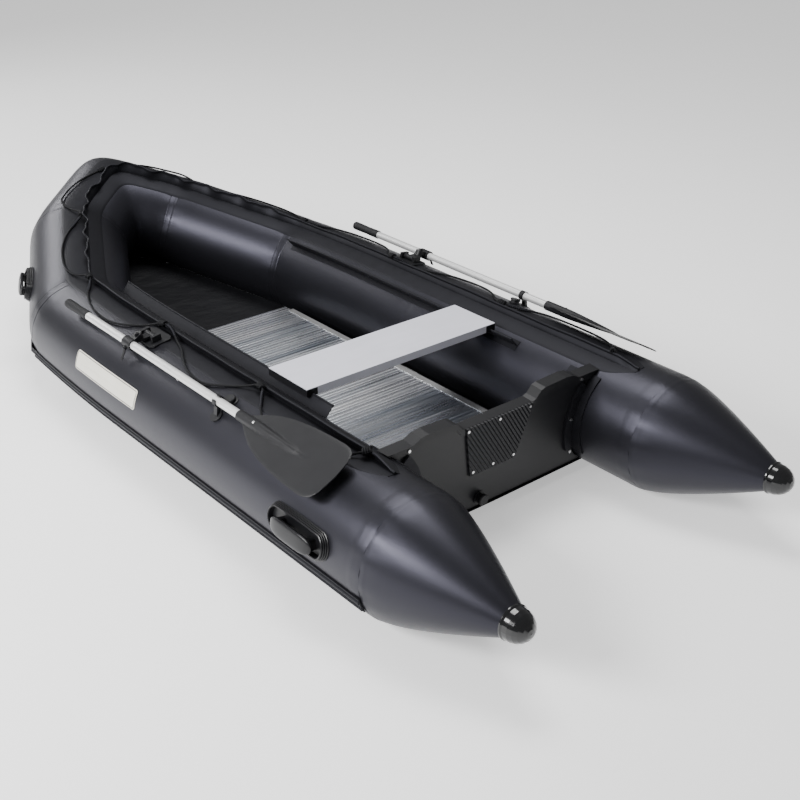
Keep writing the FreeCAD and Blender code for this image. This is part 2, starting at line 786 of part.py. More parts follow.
def transom_top(lift):
    """The board's upper edge from port to starboard, raised by lift."""
    half = [
        (S["notch_half"], S["notch_z"] + lift),
        (S["notch_half"] + 16, S["notch_z"] + 6 + lift),
        (S["notch_half"] + 38, S["hump_z"] - 6 + lift),
        (S["notch_half"] + 56, S["hump_z"] + lift),
        (S["notch_half"] + 158, S["hump_z"] + 4 + lift),
        (S["notch_half"] + 190, S["hump_z"] + lift),
        (S["notch_half"] + 222, S["wing_z"] + lift),
        (S["notch_half"] + 345, S["wing_z"] + lift),
    ]
    return [(-x, z) for x, z in reversed(half)] + half


def transom():
    thick = S["transom_thick"]

    def board(sketch):
        edge = transom_top(0.0)
        low = S["transom_foot"]
        polygon(sketch, [*edge, (edge[-1][0], low), (edge[0][0], low)])

    def rim(sketch):
        polygon(sketch, [*transom_top(S["cap_wall"]), *reversed(transom_top(-S["cap_skirt"]))])

    def solid(name):
        return leaned(pad(name, "XZ_Plane", thick, board, 0.0, True))

    seat = cylinder("holder_seat", S["tube_radius"] + 6, 400, (S["tube_half_gap"], -150, S["tube_radius"]))
    seat.Placement.Rotation = Rotation(Vector(1, 0, 0), -90)
    seats = fuse("holder_seats", seat, mirrored("holder_seat_port", seat))
    drain = cylinder("drain_hole", 14.2, 120, (-62, -40, 84), Rotation(Vector(1, 0, 0), -90))
    blank = cut("board_blank", solid("board_solid"), seats)
    part("transom_board", cut("transom_board", blank, drain))

    cap = leaned(pad("cap_solid", "XZ_Plane", thick + S["cap_wall"] * 2, rim, S["cap_wall"], True))
    recess = leaned(pad("plate_recess", "XZ_Plane", 20, plate_room, 20, True))
    trimmed_cap = cut("cap_recessed", cut("cap_trimmed", cap, seats), recess)
    part("transom_cap", cut("transom_cap", trimmed_cap, solid("board_in_cap")))
    holders()
    motor_plates()


def holders():
    """Moulded channels, glued to the tubes, that grip the board's two ends."""
    centre = (S["tube_half_gap"], S["tube_radius"])

    def sole(sketch):
        band(sketch, *centre, S["tube_radius"] + S["gap"], S["tube_radius"] + 5.6, -118, -36)

    def grip(sketch):
        band(sketch, *centre, S["tube_radius"] + 5.0, S["tube_radius"] + 38, -112, -48)

    flange = pad("holder_sole", "XZ_Plane", 140, sole, 60, True)
    jaws = leaned(pad("holder_grip", "XZ_Plane", S["transom_thick"] + 22, grip, 11, True))

    def slot(sketch):
        polygon(sketch, [(300, 20), (560, 20), (560, 460), (300, 460)])

    room = leaned(pad("holder_slot", "XZ_Plane", S["transom_thick"] + 0.2, slot, 0.1, True))
    cap_room = leaned(pad("holder_cap_room", "XZ_Plane", 120, cap_clear, 40, True))
    jaws_cut = cut("holder_jaws", cut("holder_jaws_slot", jaws, room), cap_room)
    both("transom_holders", fuse("transom_holder", flange, jaws_cut))


def cap_clear(sketch):
    """The room above the cap's skirt."""
    low = S["wing_z"] - S["cap_skirt"] - 1
    polygon(sketch, [(300, low), (560, low), (560, 500), (300, 500)])


def plate_room(sketch):
    """The cap stops short of the outer motor plate."""
    side = S["notch_half"] + 1
    polygon(sketch, [(-side, 300), (side, 300), (side, 450), (-side, 450)])


def motor_plates():
    """Wear plates where a motor's clamps bear, outside and inside, and all the transom's screws."""
    low = 190.0
    top = S["notch_z"] + S["cap_wall"] - 0.5
    half = S["notch_half"]
    outer_edge = [(-half, top), (half, top), (86, low), (-117, low)]
    inner_edge = [(-120, 350), (120, 350), (100, 230), (-100, 230)]

    def outline(points):
        return lambda sketch: polygon(sketch, points)

    outer = leaned(pad("plate_outer", "XZ_Plane", S["plate_thick"], outline(outer_edge)))
    inner = pad("plate_inner", "XZ_Plane", 4, outline(inner_edge), -S["transom_thick"], True)
    part("motor_plate_inner", leaned(inner))

    def heads(name, spots, radius, face, height):
        made = []
        for number, (x, z) in enumerate(spots):

            def head(sketch, x=x, z=z):
                disc(sketch, x, z, radius)

            made.append(leaned(pad(f"{name}{number}", "XZ_Plane", height, head, face)))
        return group(name, *made)

    inset = 12
    high = num(top) - inset
    spots = [(-138, high), (0, high), (138, high), (80, low + inset), (-14, low + inset), (-104, low + inset)]
    sunk = S["plate_thick"] - 3
    seats = heads("plate_seat", spots, 5.3, sunk, 4)
    part("motor_plate_outer", cut("motor_plate_outer", outer, seats))
    part("motor_plate_screws", heads("plate_screw", spots, 5, sunk, 3))
    edge = [(386, 388), (-386, 388)]
    on_cap = heads("cap_screw", edge, 5.5, S["cap_wall"], 3)
    jaw = [(347, 245), (-347, 245), (362, 110), (-362, 110)]
    part("transom_screws", group("transom_screws", on_cap, heads("jaw_screw", jaw, 5.5, 11, 3)))


# ---- drain ----


def drain():
    """A sleeve through the transom with a screw-on bung outside."""
    aft_turn = Rotation(Vector(1, 0, 0), 90)

    def sleeve(sketch):
        polygon(sketch, [(10, -58), (14, -58), (14, 1.5), (24, 1.5), (24, 5), (17, 5), (17, 14), (10, 14)])

    spot = (-62, -5.2, 84)
    part("drain_sleeve", put(turned("drain_sleeve", sleeve), spot, aft_turn))

    def bung(sketch):
        polygon(sketch, [(0, -8), (9.94, -8), (9.94, 14.4), (19, 14.4), (20, 16), (20, 26), (17.5, 29), (0, 29)])

    part("drain_bung", put(turned("drain_bung", bung), spot, aft_turn))


# ---- bench ----


def bench():
    """A hollow aluminium plank with a moulded block under each end that runs on the seat rails."""
    width, thick, wall = S["bench_width"], S["bench_thick"], S["bench_wall"]
    half = S["bench_length"] / 2
    low = S["bench_top"] - thick
    outside = box("bench_outside", S["bench_length"], width, thick, (-half, S["bench_aft"], low))
    rooms = []
    cell = (width - wall * 5) / 4
    for number in range(4):
        room = box(f"bench_cell{number}", S["bench_length"] + 2, cell, thick - wall * 2)
        at = (-half - 1, S["bench_aft"] + wall + number * (cell + wall), low + wall)
        rooms.append(put(room, at))
    seats = []
    for number, x in enumerate((-half - 1, half - S["end_block"])):
        seat = box(f"bench_seat{number}", S["end_block"] + 1, width + 2, thick - wall + 1)
        seats.append(put(seat, (x, S["bench_aft"] - 1, low - 1)))
    part("bench_plank", cut("bench_plank", outside, fuse("bench_cells", *rooms, *seats)))

    reach = S["tube_radius"] + S["gap"] + S["rail_reach"] - 1.5
    hem_x, hem_z = ray_point(reach, S["rail_angle"], True)
    at = (half - S["end_block"], S["bench_aft"], low)
    block = box("block_body", S["end_block"], width, thick - wall, at)
    groove = cylinder("block_groove", S["hem_radius"] + 1.4, width + 2, (hem_x, S["bench_aft"] - 1, hem_z))
    groove.Placement.Rotation = Rotation(Vector(1, 0, 0), -90)
    mouth = box("block_mouth", 5.0, width + 2, 60)
    tilt = Rotation(Vector(0, 1, 0), num(S["rail_angle"]) + 180)
    put(mouth, (hem_x + 2.5 * cos(S["rail_angle"]), S["bench_aft"] - 1, hem_z - 2.5 * sin(S["rail_angle"])), tilt)
    both("bench_end_blocks", cut("bench_block", block, fuse("block_slot", groove, mouth)))


# ---- oars and rowlocks ----

OAR_RADIUS = S["tube_radius"] + S["oar_lift"]
OAR_X, OAR_Z = ray_point(OAR_RADIUS, S["oar_angle"], True)
TO_BOW = Rotation(Vector(1, 0, 0), -90)


def oar_turn():
    """Turns a piece drawn with Z up off the tube and Y to the bow into the oar's own tilt."""
    return Rotation(Vector(0, 1, 0), num(S["oar_angle"]))


def tilted(at_x, y, at_z):
    """A point given across, along and off the tube from the oar's axis, in the boat's frame."""
    shift = oar_turn().multVec(Vector(at_x, 0, at_z))
    return OAR_X + shift.x, y, OAR_Z + shift.z


def oar():
    """Grip, two lengths of tube with a spring button, and a blade."""
    fore = S["loom_fore"]
    shaft = cylinder("loom_outside", S["shaft_radius"], fore - S["joint_y"], (OAR_X, S["joint_y"], OAR_Z), TO_BOW)
    bore = cylinder(
        "loom_bore",
        S["shaft_radius"] - S["shaft_wall"],
        fore - S["joint_y"] + 2,
        (OAR_X, S["joint_y"] - 1, OAR_Z),
        TO_BOW,
    )
    outboard = along(oar_turn().multVec(Vector(1, 0, 0)))
    hole = cylinder("stem_hole", 4.45, 40, tilted(0, S["joint_y"] - 30, 0), outboard)
    pair("oar_loom", cut("oar_loom", shaft, bore))

    lower = S["joint_y"] - S["blade_root"]
    stem_out = cylinder("stem_outside", S["shaft_radius"], lower - 0.5, (OAR_X, S["blade_root"], OAR_Z), TO_BOW)
    spigot = cylinder("stem_spigot", S["shaft_radius"] - S["shaft_wall"] - 0.2, lower + 60, (OAR_X, S["blade_root"], OAR_Z), TO_BOW)
    room = cylinder("stem_room", S["shaft_radius"] - S["shaft_wall"] * 2, lower + 62, (OAR_X, S["blade_root"] - 1, OAR_Z), TO_BOW)
    stem = cut("stem_tube", fuse("stem_joined", stem_out, spigot), room)
    pair("oar_stem", cut("oar_stem", stem, hole))

    button = cylinder("button_post", 4.4, 8.2, tilted(9.6, S["joint_y"] - 30, 0), outboard)
    pair("oar_button", button)

    def grip(sketch):
        radius = S["grip_radius"]
        inner, length = S["shaft_radius"], S["grip_length"]
        depth = fore - S["grip_aft"]
        crown = [(radius, length - 12), (radius - 4, length - 3), (0, length)]
        polygon(sketch, [(radius, 0), *crown, (0, depth), (inner, depth), (inner, 0)])

    handle = put(turned("oar_grip", grip), (OAR_X, S["grip_aft"], OAR_Z), TO_BOW)
    pair("oar_grip", handle)
    blade()


def blade():
    """A flat paddle, lying over the tube, with a socket round the stem's end."""
    outline = [
        (-34, 32), (-60, -28), (-92, -150), (-104, -270), (-96, -360), (-66, -430), (-20, -462),
        (24, -462), (70, -430), (98, -360), (104, -270), (92, -150), (60, -28), (34, 32),
    ]

    def face(sketch):
        polygon(sketch, outline)

    sheet = pad("blade_sheet", "XY_Plane", 5, face, -2.5)
    socket = cylinder("blade_socket", S["shaft_radius"] + 4, 150, (0, -96, 0), TO_BOW)
    spine = cylinder("blade_spine", 9, 330, (0, -420, 0), TO_BOW)
    bore = cylinder("blade_bore", S["shaft_radius"], 120, (0, 0, 0), TO_BOW)
    paddle = cut("oar_blade", fuse("blade_whole", sheet, socket, spine), bore)
    put(paddle, (OAR_X, S["blade_root"], OAR_Z), oar_turn())
    pair("oar_blade", paddle)


SWIVEL = -38.0


def rowlocks():
    """A glued block with a fore-and-aft barrel, an arm on the barrel, and the collar on the oar."""
    angle = num(S["rowlock_angle"])
    turn = Rotation(Vector(0, 1, 0), angle)
    seat = S["tube_radius"] + S["gap"]
    foot_x, foot_z = ray_point(0.0, angle, True)
    height = 16.0

    def footprint(sketch):
        polygon(sketch, [(-40, -66), (28, -66), (38, -50), (38, 50), (28, 66), (-40, 66), (-52, 48), (-52, -48)])

    sole = put(pad("rowlock_sole", "XY_Plane", 14, footprint, seat - 8), (foot_x, S["rowlock_y"], foot_z), turn)
    ears = []
    for number, y in enumerate((-44.0, 30.0)):
        ear = box(f"rowlock_ear{number}", 36, 14, 26.5)
        shift = turn.multVec(Vector(-18, y, num(seat) + 2))
        ears.append(put(ear, (foot_x + shift.x, S["rowlock_y"] + shift.y, foot_z + shift.z), turn))
    hub = turn.multVec(Vector(0, 0, num(seat) + height))
    hub_at = (foot_x + hub.x, S["rowlock_y"] - 60, foot_z + hub.z)
    bore = cylinder("rowlock_bore", S["barrel_radius"] + 0.05, 120, hub_at, TO_BOW)
    over_strip = seat + S["strip_thick"] + 0.2
    tube = cylinder("rowlock_tube", over_strip, 300, (S["tube_half_gap"], S["rowlock_y"] - 150, S["tube_radius"]), TO_BOW)
    block = cut("rowlock_bored", fuse("rowlock_solid", sole, *ears), bore)
    pair("rowlock_block", cut("rowlock_block", block, tube))

    barrel = cylinder("arm_barrel", S["barrel_radius"], 88, (hub_at[0], S["rowlock_y"] - 44, hub_at[2]), TO_BOW)
    pin_x, pin_y, pin_z = tilted(SWIVEL, S["rowlock_y"], -14.5)
    reach = Vector(num(pin_x) - num(hub_at[0]), 0, num(pin_z) - num(hub_at[2]))
    slope = Rotation(Vector(0, 1, 0), math.degrees(math.atan2(-reach.z, reach.x)))
    link = box("arm_link", reach.Length + 2, 34, 10)
    lift = slope.multVec(Vector(0, -17, -5))
    put(link, (hub_at[0] + lift.x, S["rowlock_y"] + lift.y, hub_at[2] + lift.z), slope)
    post = cylinder("arm_post", 6, 34, tilted(SWIVEL, S["rowlock_y"], -18), oar_turn())
    boss = cylinder("arm_boss", 15, 10, tilted(SWIVEL, S["rowlock_y"], -18), oar_turn())
    keeper = cylinder("arm_keeper", 9.5, 5, tilted(SWIVEL, S["rowlock_y"], 8.3), oar_turn())
    pair("rowlock_arm", fuse("rowlock_arm", barrel, link, post, boss, keeper))
    collar()


def collar():
    """A moulded ring clamped on the shaft, with an ear that turns on the rowlock's post, a clamp
    screw and a short retaining strap."""
    y = S["rowlock_y"]
    ring = cylinder("collar_ring", S["shaft_radius"] + 5.5, 52, (OAR_X, y - 26, OAR_Z), TO_BOW)
    ear = box("collar_ear", 40, 34, 16)
    put(ear, tilted(SWIVEL, y - 17, -8), oar_turn())
    nose = cylinder("collar_nose", 17, 16, tilted(SWIVEL, y, -8), oar_turn())
    bore = cylinder("collar_bore", S["shaft_radius"], 60, (OAR_X, y - 30, OAR_Z), TO_BOW)
    hole = cylinder("collar_hole", 6.05, 60, tilted(SWIVEL, y, -30), oar_turn())
    solid = fuse("collar_solid", ring, ear, nose)
    pair("oar_collar", cut("oar_collar", solid, fuse("collar_holes", bore, hole)))

    outboard = oar_turn().multVec(Vector(1, 0, 0))
    knob_at = tilted(num(S["shaft_radius"]) + 5.6, y, 0)
    knob = cylinder("knob_head", 8, 9, knob_at, along(outboard))
    hang = Rotation(Vector(0, 1, 0), num(S["oar_angle"]) + 36)
    strap = box("collar_strap", 44, 12, 3, tilted(num(S["shaft_radius"]) + 9, y - 6, -4), hang)
    pair("collar_screw", fuse("collar_screw", knob, strap))


def oar_clips():
    """A glued round patch with a springy open hook round the shaft."""
    y = S["clip_y"]
    turn = oar_turn()
    patch_turn = Rotation(Vector(0, 1, 0), num(S["oar_angle"]) + 9)
    patch = cylinder("clip_patch", 23, 8, (0, 0, 0), patch_turn)
    lift = patch_turn.multVec(Vector(0, 0, num(S["tube_radius"]) - 3))
    put(patch, (S["tube_half_gap"] + lift.x, y, S["tube_radius"] + lift.z), patch_turn)
    hook = cylinder("clip_hook", S["shaft_radius"] + 5, 18, (OAR_X, y - 9, OAR_Z), TO_BOW)
    lean_in = Rotation(Vector(0, 1, 0), num(S["oar_angle"]) - 37)
    post = box("clip_post", 12, 18, 30, tilted(26, y - 9, -40), lean_in)
    room = cylinder("clip_room", S["shaft_radius"] + 0.3, 40, (OAR_X, y - 20, OAR_Z), TO_BOW)
    mouth = box("clip_mouth", 18, 40, 60, tilted(-9, y - 20, 4), turn)
    tube = cylinder("clip_tube", S["tube_radius"] + S["gap"], 200, (S["tube_half_gap"], y - 100, S["tube_radius"]), TO_BOW)
    solid = fuse("clip_solid", patch, hook, post)
    pair("oar_clip", cut("oar_clip", solid, fuse("clip_rooms", room, mouth, tube)))


# ---- air valves ----


def air_valves():
    """A flange glued in the tube's skin with a screw cap."""
    angle = num(S["valve_angle"])
    turn = Rotation(Vector(0, 1, 0), angle)
    seat = turn.multVec(Vector(0, 0, num(S["tube_radius"]) + 1.4))
    spot = (S["tube_half_gap"] + seat.x, S["valve_y"], S["tube_radius"] + seat.z)

    def flange(sketch):
        radius = S["valve_radius"]
        polygon(sketch, [(12, 0), (radius, 0), (radius, 2), (radius - 4, 4), (17, 4), (17, 8), (12, 8)])

    both("air_valves", put(turned("air_valve", flange), spot, turn))

    def cap(sketch):
        polygon(sketch, [(0, 9), (11.9, 9), (11.9, 8.3), (18, 8.3), (19.5, 10), (19.5, 15), (17, 17), (0, 17)])

    pair("valve_cap", put(turned("valve_cap", cap), spot, turn))


# ---- handles and plates on the tubes ----


def handle_at(name, centre, base_turn, angle, length, half_width):
    """An oval pad with a grip bar raised off it, centred over a point of the tube's axis."""
    turn = base_turn.multiply(Rotation(Vector(0, 1, 0), angle))
    sunk, pad_thick, reach, bar_thick, bar_half = 9.0, 16.0, 48.0, 14.0, 13.0
    straight = length / 2 - half_width

    def spot(x, y, z):
        return centre + turn.multVec(Vector(x, y, num(S["tube_radius"]) + z))

    slab = box(f"{name}_slab", half_width * 2, straight * 2, pad_thick, spot(-half_width, -straight, -sunk), turn)
    ends = [
        cylinder(f"{name}_end{number}", half_width, pad_thick, spot(0, y, -sunk), turn)
        for number, y in enumerate((-straight, straight))
    ]

    def bar(sketch):
        foot, corner, leg = straight + 16, 16, 18
        low, high = 0.0, reach
        outer = [(-foot, low), (-foot, high - corner), (-foot + corner, high)]
        inner = [(-foot + leg, low), (-foot + leg, high - corner - 4), (-foot + leg + 8, high - bar_thick)]
        half = [*outer, *((-y, z) for y, z in reversed(outer))]
        polygon(sketch, [*half, *((-y, z) for y, z in inner), *reversed(inner)])

    grip = put(pad(f"{name}_bar", "YZ_Plane", bar_half * 2, bar, -bar_half), spot(-10, 0, 0), turn)
    return fuse(name, slab, *ends, grip)


def carry_handles():
    """Four moulded grab handles: two on the side tubes and two at the shoulders of the bow."""
    room = S["tube_radius"] + S["gap"]
    aft_y, aft_angle, bow_angle = 7.5, 80, 74
    axis = Vector(num(S["tube_half_gap"]), aft_y, num(S["tube_radius"]))
    aft = handle_at("handle_aft", axis, Rotation(), aft_angle, 290, 50)
    tube = cylinder("handle_tube", room, 500, (S["tube_half_gap"], -240, S["tube_radius"]), TO_BOW)
    middle = SHOULDER + (KNEE - SHOULDER) * 0.4
    outboard, up = BOW_FRAME
    bow = handle_at("handle_bow", middle, facing(outboard, BOW_AIM, up), bow_angle, 190, 42)
    core = cylinder("handle_core", room, 700, SHOULDER - BOW_AIM * 20, along(BOW_AIM))
    pieces = group("handle_pair", cut("handle_aft_cut", aft, tube), cut("handle_bow_cut", bow, core))
    both("carry_handles", pieces)


def name_plates():
    """Blank plates, bent to the tube, on both sides."""

    def face(sketch):
        low = S["tube_radius"] + S["gap"]
        band(sketch, S["tube_half_gap"], S["tube_radius"], low, low + 1.4, 60, 80)

    plate = pad("plate_bent", "XZ_Plane", 440, face, -985, True)
    both("side_plates", plate)


# ---- lifelines ----


def cord(name, route, radius):
    """A tube of straight runs joined by arcs as large as the runs allow, along a route of points."""
    edges, start, radii = [], route[0], []
    for before, corner, after in zip(route, route[1:], route[2:]):
        back, ahead = before - corner, after - corner
        turn = math.pi - back.getAngle(ahead)
        shorter = min(back.Length, ahead.Length)
        reach = 0.45 * shorter
        radii.append(reach / math.tan(turn / 2))
        back.normalize()
        ahead.normalize()
        enter, leave = corner + back * reach, corner + ahead * reach
        inward = (back + ahead).normalize()
        middle = corner + inward * (radii[-1] / math.cos(turn / 2) - radii[-1])
        edges += [Part.LineSegment(start, enter).toShape(), Part.Arc(enter, middle, leave).toShape()]
        start = leave
    edges.append(Part.LineSegment(start, route[-1]).toShape())
    spine = Part.Wire(edges)
    circle = Part.Circle(route[0], route[1] - route[0], radius)
    tube = spine.makePipeShell([Part.Wire(circle.toShape())], True, False)
    expected = math.pi * radius**2 * spine.Length
    print(
        f"{name}: length {spine.Length:.0f} mm, smallest radius {min(radii):.0f} mm, "
        f"volume {tube.Volume / expected:.3f} of section times length"
    )
    rope = doc.addObject("Part::Feature", name)
    rope.Shape = tube
    return rope


def over_tube(y, angle, off):
    """A point on the starboard side tube's surface, off millimetres above it."""
    x = num(S["tube_half_gap"])
    if y > num(S["sheer_start"]):
        x -= BEND_RADIUS * (1 - math.cos((y - num(S["sheer_start"])) / BEND_RADIUS))
    reach = num(S["tube_radius"]) + off
    return Vector(x + reach * sin(angle), y, num(S["tube_radius"]) + reach * cos(angle))


def over_bow(segment, distance, angle, off):
    """A point on a bow segment's surface, at a distance along it from its start."""
    _, start, end, (outboard, up), _ = segment
    reach = num(S["tube_radius"]) + off
    aim = (end - start).normalize()
    return start + aim * distance + outboard * (reach * sin(angle)) + up * (reach * cos(angle))


def lifelines():
    """Rope tied along the flap and hanging between the ties in slack loops over the tubes."""
    off, lift, tie_angle = 7.0, 33.0, -9
    ties = [over_tube(y, tie_angle, lift) for y in (-30, 530, 1170, 1760)]
    shoulder, nose = SEGMENTS
    ties += [over_bow(shoulder, 530, tie_angle, lift), over_bow(nose, 300, -2, off)]
    side_loops = [
        [(10, 3), (65, 14), (140, 22), (235, 25), (330, 23), (410, 16), (475, 3)],
        [(595, 1), (655, 13), (730, 22), (820, 20), (900, 12), (975, 1), (1040, -4)],
        [(1230, 0), (1290, 13), (1365, 20), (1455, 21), (1550, 18), (1640, 10), (1705, -1)],
    ]
    slack = [[over_tube(y, angle, off) for y, angle in loop] for loop in side_loops]
    slack[1].append(over_tube(1105, -9, lift - 1))
    bow_loop = [(45, 5), (120, 14), (215, 17), (310, 16), (400, 10), (470, 1)]
    slack.append([over_bow(shoulder, *spot, off) for spot in bow_loop])
    nose_loop = [over_bow(shoulder, *spot) for spot in ((600, 6, off), (686, 17, off + 2))]
    nose_loop += [over_bow(nose, *spot, off) for spot in ((90, 22), (165, 19), (235, 9))]
    slack.append(nose_loop)
    route = []
    for tie_at, loop in zip(ties, slack):
        route += [tie_at, *loop]
    route.append(ties[-1])
    pair("lifeline", cord("lifeline", route, num(S["rope_radius"])))


def build():
    air_tubes()
    stern_cones()
    cone_caps()
    gunwale_strips()
    seat_rails()
    rub_strakes()
    bottom_skin(hull_form(S["tube_radius"] + S["gap"]))
    keel_tube()
    floor_panels()
    stringers()
    transom()
    drain()
    bench()
    oar()
    rowlocks()
    oar_clips()
    air_valves()
    carry_handles()
    name_plates()
    lifelines()
    doc.recompute()


def write():
    """Check every object, then write each piece to its own file."""
    for thing in doc.Objects:
        if "Invalid" in thing.State or "Error" in thing.State:
            raise RuntimeError(f"{thing.Name} is {thing.State}")
    for label, thing in PARTS.items():
        if thing.Shape.isNull() or not thing.Shape.isValid():
            raise RuntimeError(f"{label} has no valid shape")
    os.makedirs("parts", exist_ok=True)
    for label, thing in PARTS.items():
        thing.Shape.exportStep(f"parts/{label}.step")
    whole = FreeCAD.BoundBox()
    for label, thing in PARTS.items():
        whole.add(thing.Shape.optimalBoundingBox(False))
        print(f"{label}: {len(thing.Shape.Solids)} solids, {thing.Shape.Volume / 1000:.1f} cm3")
    print(f"{len(PARTS)} nodes, {whole}")


build()
write()
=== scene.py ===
"""Looks for the inflatable dinghy: fabric tubes, flaps, lifelines, floor, oars and fittings.

Metres, in the CAD frame. Places on the tubes are given by a run (the side tube or one of the two
bow lengths), a distance along it, an angle round it from its top, outboard positive, and a height
off its fabric.
"""
import math

import bmesh
import bpy
import numpy as np
from mathutils import Matrix, Vector


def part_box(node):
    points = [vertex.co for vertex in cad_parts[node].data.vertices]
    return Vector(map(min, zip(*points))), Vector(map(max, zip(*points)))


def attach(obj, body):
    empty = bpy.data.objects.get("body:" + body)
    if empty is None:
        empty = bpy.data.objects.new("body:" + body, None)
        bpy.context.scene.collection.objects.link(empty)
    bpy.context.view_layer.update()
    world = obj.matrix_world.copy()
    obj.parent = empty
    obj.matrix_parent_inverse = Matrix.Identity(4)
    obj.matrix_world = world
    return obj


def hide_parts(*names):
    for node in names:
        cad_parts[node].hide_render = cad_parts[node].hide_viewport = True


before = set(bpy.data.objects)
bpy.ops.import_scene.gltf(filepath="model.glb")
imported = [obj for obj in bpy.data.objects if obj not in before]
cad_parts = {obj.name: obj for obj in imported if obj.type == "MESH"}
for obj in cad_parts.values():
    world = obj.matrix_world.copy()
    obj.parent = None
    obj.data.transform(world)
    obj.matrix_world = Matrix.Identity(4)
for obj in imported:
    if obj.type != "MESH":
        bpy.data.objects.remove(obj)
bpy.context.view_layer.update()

FAR = 100

# ---- camera ----


def make_camera():
    """Stand off the port quarter, looking down on the boat, with a little roll."""
    yaw, pitch, roll = (math.radians(turn) for turn in (40.162, 27.433, 0.267))
    level = math.cos(pitch)
    look = Vector((math.sin(yaw) * level, math.cos(yaw) * level, -math.sin(pitch)))
    right = look.cross(Vector((0, 0, 1))).normalized()
    up = right.cross(look)
    cosine, sine = math.cos(roll), math.sin(roll)
    right, up = right * cosine + up * sine, up * cosine - right * sine
    data = bpy.data.cameras.new("camera")
    data.sensor_width, data.lens = 36.0, 55.33
    data.clip_end = FAR
    camera = bpy.data.objects.new("camera", data)
    turn = Matrix((right, up, -look)).transposed().to_4x4()
    camera.matrix_world = Matrix.Translation((-2.50690, -3.53735, 2.25205)) @ turn
    bpy.context.scene.collection.objects.link(camera)
    bpy.context.scene.camera = camera


make_camera()

# ---- the tubes' own geometry ----

TUBE = 0.210  # radius of the fabric
HALF_GAP = 0.573  # from the middle of the boat to the side tube's axis
CONE_SEAM = -0.272  # where the stern cone starts, from the transom
SHEER = 1.150  # where the side tube starts to bend inwards
BEND_LENGTH, BEND_INSET = 0.672, 0.025
BEND_RADIUS = (BEND_LENGTH**2 + BEND_INSET**2) / (2 * BEND_INSET)
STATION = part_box("side_tube_starboard")[0].y - CONE_SEAM
UP = np.array([0.0, 0.0, 1.0])


def unit(vector):
    """The vector, or each vector of an array, at length one."""
    return vector / np.linalg.norm(vector, axis=-1, keepdims=True)


def reflected(vector, normal):
    """A vector mirrored in the plane with that normal."""
    normal = unit(normal)
    return vector - normal * (2 * vector.dot(normal))


SHOULDER = np.array([0.548, 1.822, 0.210])
KNEE = np.array([0.252, 2.412, 0.326])
NOSE = np.array([0.0, 2.578, 0.420])
BEND = math.asin(BEND_LENGTH / BEND_RADIUS)
SIDE_AIM = np.array([-math.sin(BEND), math.cos(BEND), 0.0])
BOW_AIM, NOSE_AIM = unit(KNEE - SHOULDER), unit(NOSE - KNEE)
SIDE_OUT = np.array([SIDE_AIM[1], -SIDE_AIM[0], 0.0])
SHOULDER_PLANE, KNEE_PLANE = unit(SIDE_AIM + BOW_AIM), unit(BOW_AIM + NOSE_AIM)
BOW_FRAME = [reflected(v, SHOULDER_PLANE) for v in (SIDE_OUT, UP)]
NOSE_FRAME = [reflected(v, KNEE_PLANE) for v in BOW_FRAME]
NOSE_PLANE = np.array([-1.0, 0.0, 0.0])
EASE = 0.30  # length over which a ruling's end moves on to its seam plane


class Run:
    """One length of air tube. Its rulings stop at the seam planes: a ruling at angle a reaches
    -r (out.m sin a + up.m cos a) / (aim.m) past the axis end, eased in over the last EASE."""

    begin = 0.0

    def __init__(self, start, end, frame_pair, planes):
        self.start, self.end, self.planes = start, end, planes
        self.length = float(np.linalg.norm(end - start))
        self.aim = unit(end - start)
        self.out, self.up = frame_pair

    @property
    def span(self):
        return self.length

    def axis(self, d):
        """Axis point, outboard, up and aim at the distances d."""
        d = np.asarray(d, float)[..., None]
        spread = np.ones_like(d)
        return self.start + self.aim * d, self.out * spread, self.up * spread, self.aim * spread

    def reach(self, plane, angle, radius):
        """How far past the axis end the ruling at that angle meets the seam plane."""
        out, up, aim = self.out, self.up, self.aim
        across = out.dot(plane) * np.sin(angle) + up.dot(plane) * np.cos(angle)
        return -radius * across / aim.dot(plane)

    def at(self, d, angle, off=0.0):
        """Points at distance d, angle and height off the fabric, all arrays that broadcast."""
        d, angle, off = np.broadcast_arrays(*(np.asarray(v, float) for v in (d, angle, off)))
        centre, out, up, aim = self.axis(d)
        radius = TUBE + off
        sine, cosine = np.sin(angle)[..., None], np.cos(angle)[..., None]
        points = centre + (out * sine + up * cosine) * radius[..., None]
        first, last = self.planes
        begin, finish = self.begin, self.begin + self.span
        ease = min(EASE, self.span)
        if first is not None:
            weight = np.clip(1 - (d - begin) / ease, 0, 1)
            points = points + aim * (self.reach(first, angle, radius) * weight)[..., None]
        if last is not None:
            weight = np.clip(1 - (finish - d) / ease, 0, 1)
            points = points + aim * (self.reach(last, angle, radius) * weight)[..., None]
        return points


class SideRun(Run):
    """The side tube: straight, then bent inwards on a large circle. Distance is y from the
    transom."""

    begin = CONE_SEAM

    def __init__(self):
        start = np.array([HALF_GAP, 0.0, TUBE])
        super().__init__(start, SHOULDER, (SIDE_OUT, UP), (None, SHOULDER_PLANE))
        self.aim = SIDE_AIM

    @property
    def span(self):
        return SHOULDER[1] - CONE_SEAM

    def axis(self, d):
        d = np.asarray(d, float)
        bend = np.arcsin(np.clip((d - SHEER) / BEND_RADIUS, 0, None))
        zero = np.zeros_like(d)
        centre = np.stack([HALF_GAP - BEND_RADIUS * (1 - np.cos(bend)), d, zero + TUBE], axis=-1)
        out = np.stack([np.cos(bend), np.sin(bend), zero], axis=-1)
        aim = np.stack([-np.sin(bend), np.cos(bend), zero], axis=-1)
        return centre, out, np.stack([zero, zero, zero + 1], axis=-1), aim


